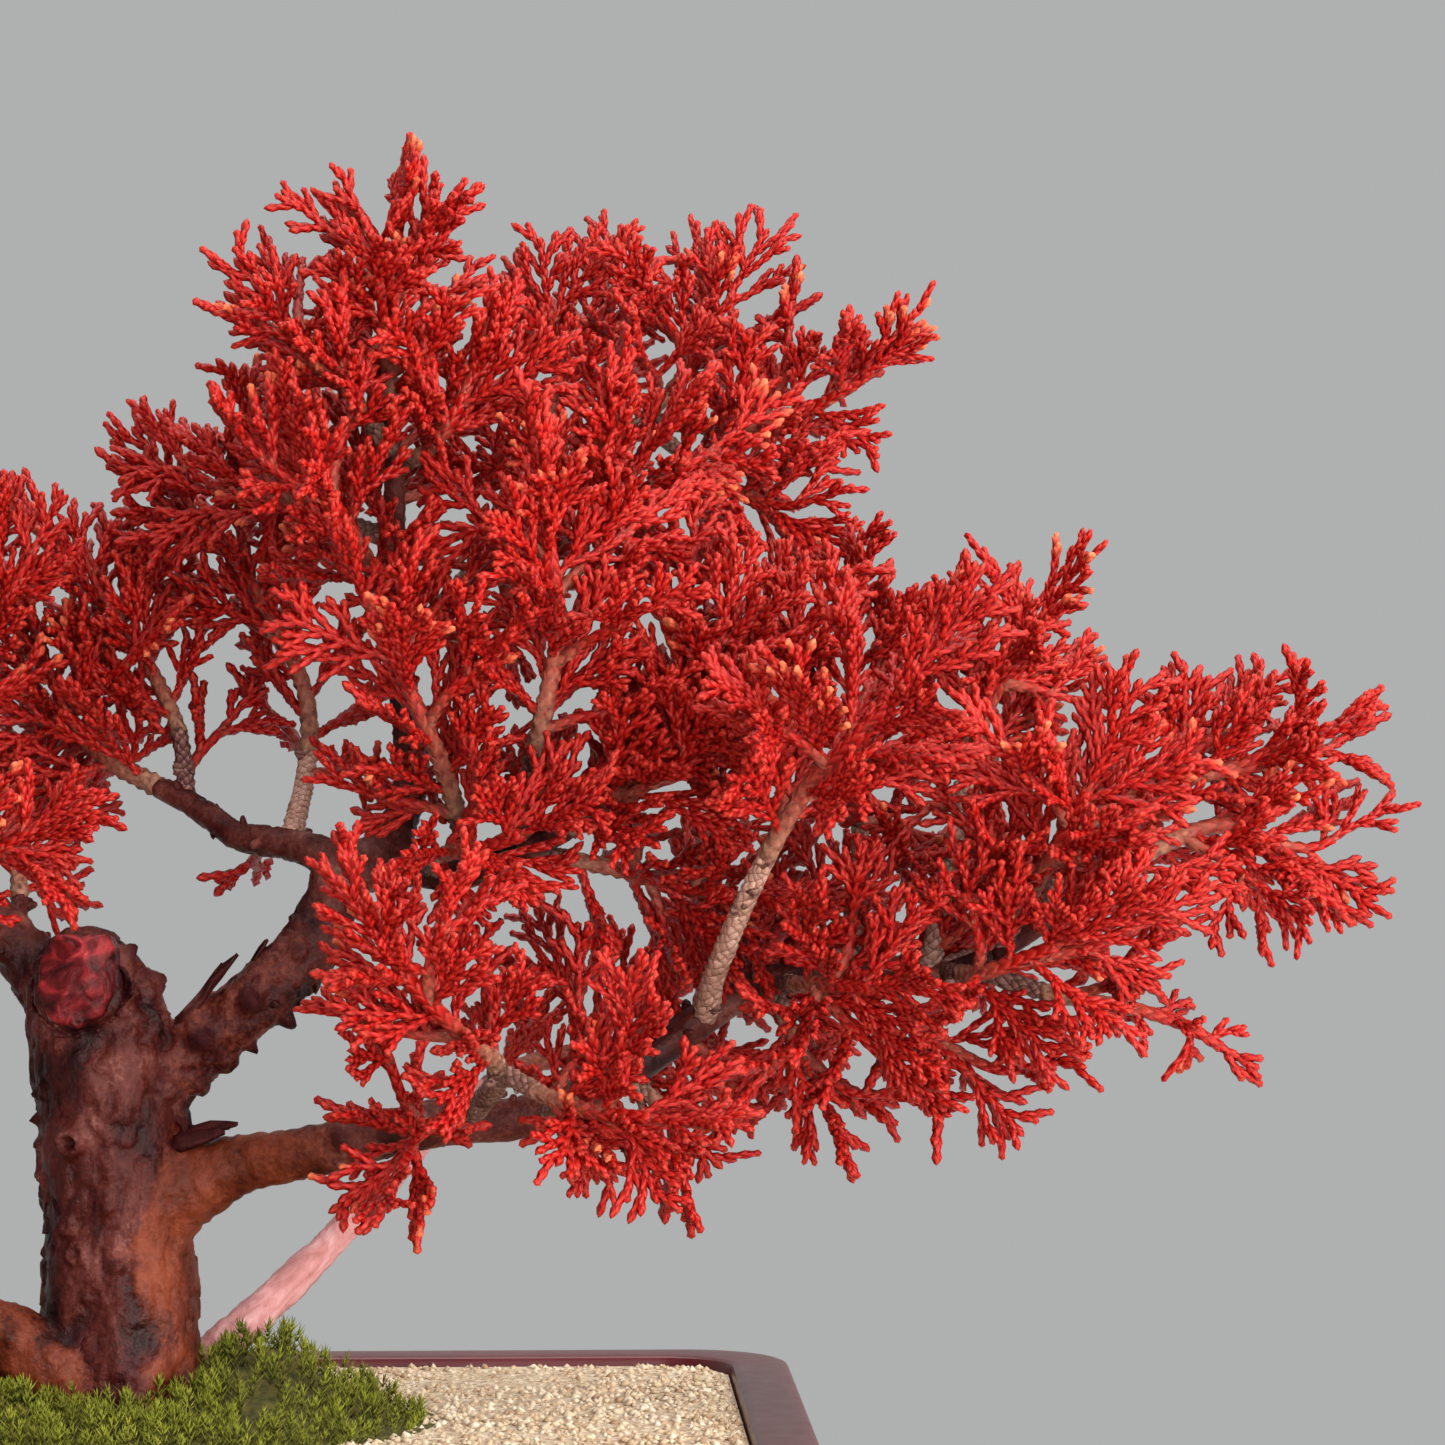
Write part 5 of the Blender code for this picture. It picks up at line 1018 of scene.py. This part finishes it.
def moss_shoot(rng):
    """An upright shoot of moss: needles in tiers round an axis. Its points and how near a tip each is."""
    points, rise = [], []
    for height, count, spread, length in MOSS_TIERS:
        first = rng.uniform(0, math.tau)
        for k in range(count):
            a = first + math.tau * k / count + rng.uniform(-0.3, 0.3)
            tilt = spread * rng.uniform(0.7, 1.3)
            way = np.array((math.cos(a) * math.sin(tilt), math.sin(a) * math.sin(tilt), math.cos(tilt)))
            u = square_to(way, UP)
            v = np.cross(way, u)
            foot = np.array((0, 0, height))
            for turn in math.tau * np.arange(3) / 3:
                points.append(foot + (u * math.cos(turn) + v * math.sin(turn)) * NEEDLE_RADIUS)
            points.append(foot + way * length * rng.uniform(0.8, 1.2))
            rise += [height / 5] * 3 + [min(1, height / 5 + 0.45)]
    return np.array(points), np.array(rise)


def inside_wall(x, y):
    """True for a place at the height of the sand that lies inside the pot."""
    top, bottom = np.array(POT_OUTLINE[-2:])
    inset, tighter, _ = top + (bottom - top) * SAND_TOP / FLOOR
    corner = POT_CORNER - tighter - WALL_CLEAR
    dx = max(0, abs(x - POT_MIDDLE[0]) - (POT_X - inset - WALL_CLEAR - corner))
    dy = max(0, abs(y - POT_MIDDLE[1]) - (POT_Y - inset - WALL_CLEAR - corner))
    return math.hypot(dx, dy) <= corner


def build_sand(material):
    """Loose grains over the layer of sand."""
    rng = random.Random(SEED + 17)
    shape = Shape()
    placed = 0
    while placed < GRAINS:
        x, y = rng.uniform(-93, 91), rng.uniform(-64, 60)
        if not inside_wall(x, y) or math.hypot(x, y) < moss_edge(math.atan2(y, x)) * 0.98:
            continue
        size = rng.choice(GRAIN_SIZES)
        turn = rng.uniform(0, math.tau)
        c, s = math.cos(turn), math.sin(turn)
        stretch = np.array([rng.uniform(0.75, 1.3), rng.uniform(0.75, 1.3), rng.uniform(0.6, 0.9)])
        loose = np.array([rng.uniform(-0.25, 0.25) for _ in range(18)]).reshape(6, 3)
        grain = (GRAIN_CORNERS + loose) * stretch * size @ np.array(((c, s, 0), (-s, c, 0), (0, 0, 1)))
        z = SAND_TOP + 0.15 * math.sin(x * 0.17) * math.sin(y * 0.21 + 1) + size * 0.15
        shape.add(grain + (x, y, z), [GRAIN_FACES], 0, (rng.random(), rng.random(), 0))
        placed += 1
    shape.make("sand_grains", [material])


# Pot


def oblong(half_x, half_y, corner, z):
    """Points round an oblong with rounded corners, about the pot's middle."""
    points = []
    for x, y, first in ((1, 1, 0), (-1, 1, 1), (-1, -1, 2), (1, -1, 3)):
        for k in range(CORNER_STEPS + 1):
            a = math.radians(90) * (first + k / CORNER_STEPS)
            points.append((
                POT_MIDDLE[0] + x * (half_x - corner) + corner * math.cos(a),
                POT_MIDDLE[1] + y * (half_y - corner) + corner * math.sin(a),
                z,
            ))
    return points


def loose_solid(name, points, rings):
    """A solid through rings of equally many points."""
    faces = [f for group in skin_faces(rings, len(points) // rings, False) for f in group.tolist()]
    return new_piece(name, to_frame(points), faces)


def foot_of(i, j):
    """A foot of the pot: rings that are nearly oblong."""
    cx, cy = POT_MIDDLE[0] + i * FOOT_X, POT_MIDDLE[1] + j * FOOT_Y
    points = []
    for half_x, half_y, z in FOOT_RINGS:
        for a in math.tau * (np.arange(24) + 0.5) / 24:
            x, y = (half * math.copysign(abs(v) ** 0.3, v)
                    for half, v in ((half_x, math.cos(a)), (half_y, math.sin(a))))
            points.append((cx + x, cy + y, z))
    return loose_solid("foot", points, len(FOOT_RINGS))


def drain_of(i, radius, low):
    """What one step of a drain hole takes away."""
    x0 = POT_MIDDLE[0] + i * DRAIN_X
    turns = math.tau * np.arange(36) / 36
    points = [
        (x0 + radius * math.cos(a), POT_MIDDLE[1] + radius * math.sin(a), z)
        for z in (low, FLOOR + 2) for a in turns
    ]
    return loose_solid("drain", points, 2)


def build_pot(material):
    """The walls and rim, with four feet, and two drain holes with a rebate for a screen."""
    shape = Shape()
    points = [
        point for inset, tighter, z in POT_OUTLINE
        for point in oblong(POT_X - inset, POT_Y - inset, POT_CORNER - tighter, z)
    ]
    shape.add(points, skin_faces(len(POT_OUTLINE), 4 * (CORNER_STEPS + 1), tip=False))
    pot = shape.make("glazed_pot", [material], "pot")
    trims = []
    for i in (-1, 1):
        trims += [(foot_of(i, j), "UNION") for j in (-1, 1)]
        trims.append((drain_of(i, DRAIN_RADIUS, BODY_BOTTOM - 2), "DIFFERENCE"))
        trims.append((drain_of(i, SCREEN_RADIUS + 0.3, FLOOR - 1.1), "DIFFERENCE"))
    for tool, operation in trims:
        cut = pot.modifiers.new("cut", "BOOLEAN")
        cut.operation, cut.solver, cut.object = operation, "MANIFOLD", tool
        done = with_modifiers(pot)
        pot.modifiers.clear()
        pot.data = done
        bpy.data.objects.remove(tool)
    pot.data.set_sharp_from_angle(angle=math.radians(35))


# Materials


class Signal:
    """What a node gives. Arithmetic on it adds further nodes."""

    def __init__(self, look, socket):
        self.look, self.socket = look, socket

    def do(self, operation, other=0.5):
        return self.look.add("Math", "Value", {0: self, 1: other}, operation=operation)

    def __add__(self, other):
        return self.do("ADD", other)

    def __sub__(self, other):
        return self.do("SUBTRACT", other)

    def __mul__(self, other):
        return self.do("MULTIPLY", other)

    def __abs__(self):
        return self.do("ABSOLUTE")

    def between(self, low, high):
        return self.look.add("MapRange", "Result", {"Value": self, "To Min": low, "To Max": high})

    def stretched(self, scale):
        """Places, with their third coordinate scaled."""
        return self.look.add("Mapping", "Vector", {"Vector": self, "Scale": (1, 1, scale)})

    def grain(self, scale, detail=4.0, distortion=0.0):
        """Noise at these places, whose features are about 1 / scale of a metre wide."""
        inputs = {"Vector": self, "Scale": scale, "Detail": detail, "Distortion": distortion}
        return self.look.add("TexNoise", "Fac", inputs)

    def split(self, kind="XYZ"):
        node = self.look.add("Separate" + kind, 0, {0: self}).socket.node
        return [Signal(self.look, output) for output in node.outputs]

    def ramp(self, *stops):
        """Colours at rising values, mixed in between. A single number stands for a grey."""
        ramp = self.look.add("ValToRGB", "Color", {"Fac": self})
        elements = ramp.socket.node.color_ramp.elements
        for place, _ in stops[1:-1]:
            elements.new(place)
        for element, (place, colour) in zip(elements, stops):
            element.position = place
            element.color = (*np.full(3, colour, float), 1)
        return ramp


class Look:
    """A material. shading holds what the shader gets that is the same all over."""

    def __init__(self, name, shading):
        self.material = bpy.data.materials.new(name)
        self.material.use_nodes = True
        self.shader = self.material.node_tree.nodes["Principled BSDF"]
        self.relief = None
        for socket, value in shading.items():
            self.plug(value, self.shader.inputs[socket])

    def plug(self, value, socket):
        if isinstance(value, Signal):
            self.material.node_tree.links.new(value.socket, socket)
        else:
            colour = socket.type == "RGBA" and isinstance(value, tuple)
            socket.default_value = (*value, 1) if colour else value

    def add(self, kind, output, inputs, **settings):
        """The output of a new node."""
        node = self.material.node_tree.nodes.new("ShaderNode" + kind)
        for key, value in settings.items():
            setattr(node, key, value)
        for socket, value in inputs.items():
            self.plug(value, node.inputs[socket])
        return Signal(self, node.outputs[output])

    def places(self):
        return self.add("TexCoord", "Object", {})

    def straight(self):
        """Where a point would be if its limb were straight and upright."""
        return self.add("Attribute", "Vector", {}, attribute_name="grain")

    def tones(self):
        return self.add("Attribute", "Color", {}, attribute_name="tone").split("Color")

    def mix(self, share, first, second, blend="MIX"):
        inputs = {"Factor": share, "A": first, "B": second}
        return self.add("Mix", "Result", inputs, data_type="RGBA", blend_type=blend)

    def bump(self, height, distance, strength=1.0):
        """Adds relief of about distance metres, on top of what is there."""
        inputs = {"Strength": strength, "Distance": distance, "Height": height}
        if self.relief:
            inputs["Normal"] = self.relief
        self.relief = self.add("Bump", "Normal", inputs)
        self.plug(self.relief, self.shader.inputs["Normal"])

    def finish(self, colour, roughness=None):
        self.plug(colour, self.shader.inputs["Base Color"])
        if roughness:
            self.plug(roughness, self.shader.inputs["Roughness"])
        return self.material


def foliage_look():
    """Red cords of scale leaves, in facing pairs that are each turned a quarter from the last. Painted
    shade darkens the gaps between the scale leaves, and a painted pink highlight lies on each leaf's
    middle.
    """
    look = Look("juniper_foliage", {
        "Roughness": 0.42, "Specular IOR Level": 0.36, "Specular Tint": (1.0, 0.5, 0.45),
        "Subsurface Weight": 0.25, "Subsurface Radius": (1.0, 0.15, 0.1), "Subsurface Scale": 0.0006,
    })
    places = look.places()
    across, back, along = look.straight().split()
    tone, orange, brown = look.tones()
    gap = abs(across) - abs(back)
    rows = along * (1 / (2 * RING_STEP * MM)) + gap.do("LESS_THAN", 0.0) * 0.5 - abs(gap) * 420.0
    scale = (rows + 0.93).do("FRACT")
    red = (tone * 0.6 + places.grain(450, 3) * 0.4).ramp(
        (0.15, (0.26, 0.002, 0.001)), (0.5, (0.315, 0.004, 0.002)), (0.8, (0.38, 0.008, 0.005)))
    # painted shade: each scale leaf is darker in the gaps towards its neighbours
    painted_gap_shade = scale.ramp(
        (0.0, (0.42, 0.25, 0.25)), (0.2, (0.72, 0.5, 0.5)), (0.42, 1), (0.88, 1), (1.0, (0.6, 0.4, 0.4)))
    red = look.mix(1.0, red, painted_gap_shade, "MULTIPLY")
    # painted highlight: pink on the middle of each scale leaf
    painted_highlight = scale.ramp((0.42, 0), (0.6, 1), (0.78, 1), (0.93, 0)) * 0.05
    red = look.mix(painted_highlight, red, (0.85, 0.20, 0.16))
    red = look.mix(orange, red, (0.74, 0.20, 0.08))
    bark = places.grain(900, 4).ramp((0.3, (0.09, 0.035, 0.025)), (0.7, (0.38, 0.18, 0.11)))
    look.bump(scale.ramp((0.0, 0), (0.3, 0.5), (0.68, 1), (1.0, 0.2)), 0.0003, 0.6)
    return look.finish(look.mix(brown, red, bark))


def bark_look():
    """Dark plum plates, with orange bark and pale pink where tone's first two shares are high. The third
    share darkens and dulls: painted shade in the knots' hollows, and dark bark on torn flaps.
    """
    look = Look("juniper_bark", {"Roughness": 0.42, "Specular Tint": (1.0, 0.75, 0.72)})
    warm, pale, hollow = look.tones()
    fibres = look.straight().stretched(0.35).grain(420, 5, 0.8)
    places = look.places()
    blotches = places.stretched(0.65).grain(130, 6, 0.5)
    fine = places.grain(1400, 4)
    share = blotches * 0.8 + fine * 0.2
    dark = share.ramp(
        (0.35, (0.006, 0.001, 0.001)), (0.43, (0.020, 0.002, 0.002)), (0.51, (0.048, 0.006, 0.004)),
        (0.6, (0.095, 0.022, 0.017)), (0.69, (0.20, 0.09, 0.075)))
    orange = share.ramp(
        (0.34, (0.022, 0.003, 0.001)), (0.5, (0.10, 0.017, 0.006)), (0.66, (0.20, 0.044, 0.019)))
    pink = fibres.ramp((0.25, (0.34, 0.12, 0.10)), (0.5, (0.50, 0.22, 0.21)), (0.75, (0.68, 0.40, 0.39)))
    uneven = (blotches - 0.5) * 1.3
    bark = look.mix((warm + uneven + (fine - 0.5) * 0.9).ramp((0.2, 0), (0.8, 1)), dark, orange)
    bark = look.mix((pale + uneven).ramp((0.66, 0), (0.84, 1)), bark, pink)
    # Less shine where the third share is high: part of the painted shade in hollows, and dull dark torn
    # bark
    look.plug(hollow * -0.16 + 0.192, look.shader.inputs["Specular IOR Level"])
    look.bump(blotches, 0.0012, 0.7)
    look.bump(fibres, 0.0004, 0.5)
    look.bump(fine, 0.0003, 0.7)
    # Dark where the third share is high: painted shade in the knots' hollows, and dark torn bark
    return look.finish(look.mix(hollow * 0.85, bark, (0.022, 0.005, 0.006)), blotches.between(0.3, 0.6))


def twig_look():
    """Old scale leaves on a twig: purple-brown, or tan where tone's first share is high. Each scale is
    painted pale in its middle and dark at its edges, as painted highlight and painted shade over its
    relief.
    """
    look = Look("twig_bark", {"Roughness": 0.65, "Specular IOR Level": 0.2})
    straight = look.straight()
    across, back, along = straight.split()
    uneven = look.places().grain(420, 3) - 0.5
    turn = back.do("ARCTAN2", across) * (5 / math.tau) + uneven
    rows = along * (1 / (1.7 * MM)) + uneven * 1.9
    # painted shade at the scales' edges and painted highlight in their middles; the same pattern gives the
    # bump
    scale_relief_and_painted_light = (rows + turn).do("FRACT") * (rows - turn).do("FRACT")
    share = scale_relief_and_painted_light.do("POWER", 0.5) * 0.65 + straight.stretched(0.3).grain(900, 5, 0.4) * 0.4
    dark = share.ramp((0.25, (0.02, 0.007, 0.006)), (0.5, (0.10, 0.035, 0.03)), (0.8, (0.24, 0.11, 0.09)))
    tan = share.ramp((0.2, (0.20, 0.085, 0.055)), (0.42, (0.42, 0.22, 0.15)), (0.8, (0.66, 0.42, 0.34)))
    look.bump(share, 0.0006, 0.9)
    return look.finish(look.mix(look.tones()[0], dark, tan))


def cut_look():
    look = Look("cut_wood", {
        "Roughness": 0.34, "Specular IOR Level": 0.3, "Specular Tint": (1.0, 0.45, 0.45),
    })
    places = look.places()
    share = places.grain(260, 5, 1.1)
    look.bump(share, 0.001, 0.6)
    look.bump(places.grain(900, 4), 0.0003, 0.6)
    red = share.ramp(
        (0.35, (0.012, 0.001, 0.001)), (0.5, (0.070, 0.004, 0.005)), (0.65, (0.22, 0.014, 0.016)),
        (0.75, (0.36, 0.05, 0.055)))
    return look.finish(red, places.grain(700, 3).between(0.25, 0.5))


def moss_look():
    look = Look("moss_green", {"Roughness": 0.8, "Specular IOR Level": 0.25})
    tone, rise, base = look.tones()
    places = look.places()
    green = tone.ramp(
        (0.0, (0.095, 0.065, 0.008)), (0.3, (0.13, 0.14, 0.008)), (0.6, (0.20, 0.22, 0.012)),
        (0.9, (0.27, 0.27, 0.025)))
    blade = look.mix(rise.do("POWER", 0.8), (0.05, 0.045, 0.008), green)
    soil = places.grain(500, 4).ramp((0.35, (0.03, 0.03, 0.006)), (0.7, (0.11, 0.09, 0.02)))
    look.bump(places.grain(1500, 3), 0.0003, 0.5)
    return look.finish(look.mix(base, blade, soil))


def sand_look(name, loose):
    """Cream sand: one colour to a grain, or cells of it where there are no loose grains."""
    look = Look(name, {"Roughness": 0.85})
    places = look.places()
    cells = {"Vector": places, "Scale": 1100}
    if loose:
        share = look.tones()[0]
    else:
        share = look.add("TexVoronoi", "Color", cells).split("Color")[0]
        look.bump(look.add("TexVoronoi", "Distance", cells), 0.0003, 0.6)
    look.bump(places.grain(4000, 3), 0.0001, 0.6)
    return look.finish(share.ramp(
        (0.0, (0.33, 0.20, 0.11)), (0.15, (0.44, 0.31, 0.19)), (0.45, (0.51, 0.39, 0.25)),
        (0.75, (0.58, 0.46, 0.32)), (1.0, (0.68, 0.58, 0.44))))


def glaze_look():
    look = Look("maroon_glaze", {
        "Roughness": 0.3, "Specular IOR Level": 0.4, "Coat Weight": 0.08, "Coat Roughness": 0.2,
    })
    places = look.places()
    look.bump(places.grain(700, 3), 0.00006, 0.4)
    red = places.grain(22, 5, 0.3).ramp((0.3, (0.065, 0.004, 0.006)), (0.7, (0.10, 0.007, 0.010)))
    return look.finish(red, places.grain(300, 4).between(0.26, 0.4))


def plain_look(name, dark, light, scale, roughness):
    look = Look(name, {"Roughness": roughness})
    share = look.places().grain(scale, 5)
    look.bump(share, 0.0004, 0.5)
    return look.finish(share.ramp((0.35, dark), (0.65, light)))


# Studio


def set_camera():
    right = np.array((math.cos(CAMERA_TURN), -math.sin(CAMERA_TURN), 0))
    ahead = np.array((math.sin(CAMERA_TURN), math.cos(CAMERA_TURN), 0))
    data = bpy.data.cameras.new("camera")
    data.lens, data.sensor_width = LENS, SENSOR
    data.clip_start, data.clip_end = 0.01, 50
    camera = new_object("camera", data)
    camera.location = to_frame(right * CAMERA_RIGHT - ahead * CAMERA_BACK + UP * CAMERA_UP)
    camera.rotation_euler = (math.radians(90), 0, -CAMERA_TURN)
    bpy.context.scene.camera = camera


def add_light(name, place, target, size, watts, colour):
    data = bpy.data.lights.new(name, "AREA")
    data.shape, data.size, data.energy, data.color = "DISK", size, watts, colour
    light = new_object(name, data)
    light.location = to_frame(place)
    light.rotation_euler = (Vector(to_frame(target)) - light.location).to_track_quat("-Z", "Y").to_euler()


def build_studio():
    """A round pale board under the pot, an even grey beyond it, and soft light from the right."""
    points = [
        ((FLOOR_RADIUS - rounding) * math.cos(a), (FLOOR_RADIUS - rounding) * math.sin(a), FEET + z)
        for rounding, z in BOARD_RINGS for a in math.tau * np.arange(128) / 128
    ]
    board = loose_solid("floor", points, len(BOARD_RINGS))
    board.data.set_sharp_from_angle(angle=math.radians(35))
    board.data.materials.append(plain_look("pale_board", 0.42, 0.45, 3, 0.9))
    world = bpy.data.worlds.new("studio")
    world.use_nodes = True
    world.node_tree.nodes["Background"].inputs["Color"].default_value = (*BACKGROUND, 1)
    bpy.context.scene.world = world
    for light in LIGHTS:
        add_light(*light)
    bpy.context.scene.view_settings.view_transform = "Standard"


def finish_nodes():
    """Materials of the nodes that stay as they are."""
    mesh_black = plain_look("black_mesh", (0.012, 0.012, 0.013), (0.03, 0.03, 0.032), 900, 0.6)
    looks = {
        "soil": plain_look("dark_soil", (0.02, 0.012, 0.008), (0.09, 0.055, 0.035), 700, 0.95),
        "top_dressing": sand_look("sand_bed", False),
        "drainage_screen_left": mesh_black, "drainage_screen_right": mesh_black,
    }
    for name, look in looks.items():
        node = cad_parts[name]
        node.data.materials.clear()
        node.data.materials.append(look)


def main():
    set_camera()
    build_studio()
    finish_nodes()
    build_pot(glaze_look())
    build_sand(sand_look("sand_grain", True))
    build_moss(moss_look())
    build_wood([bark_look(), cut_look(), twig_look()])
    build_foliage(foliage_look())


main()
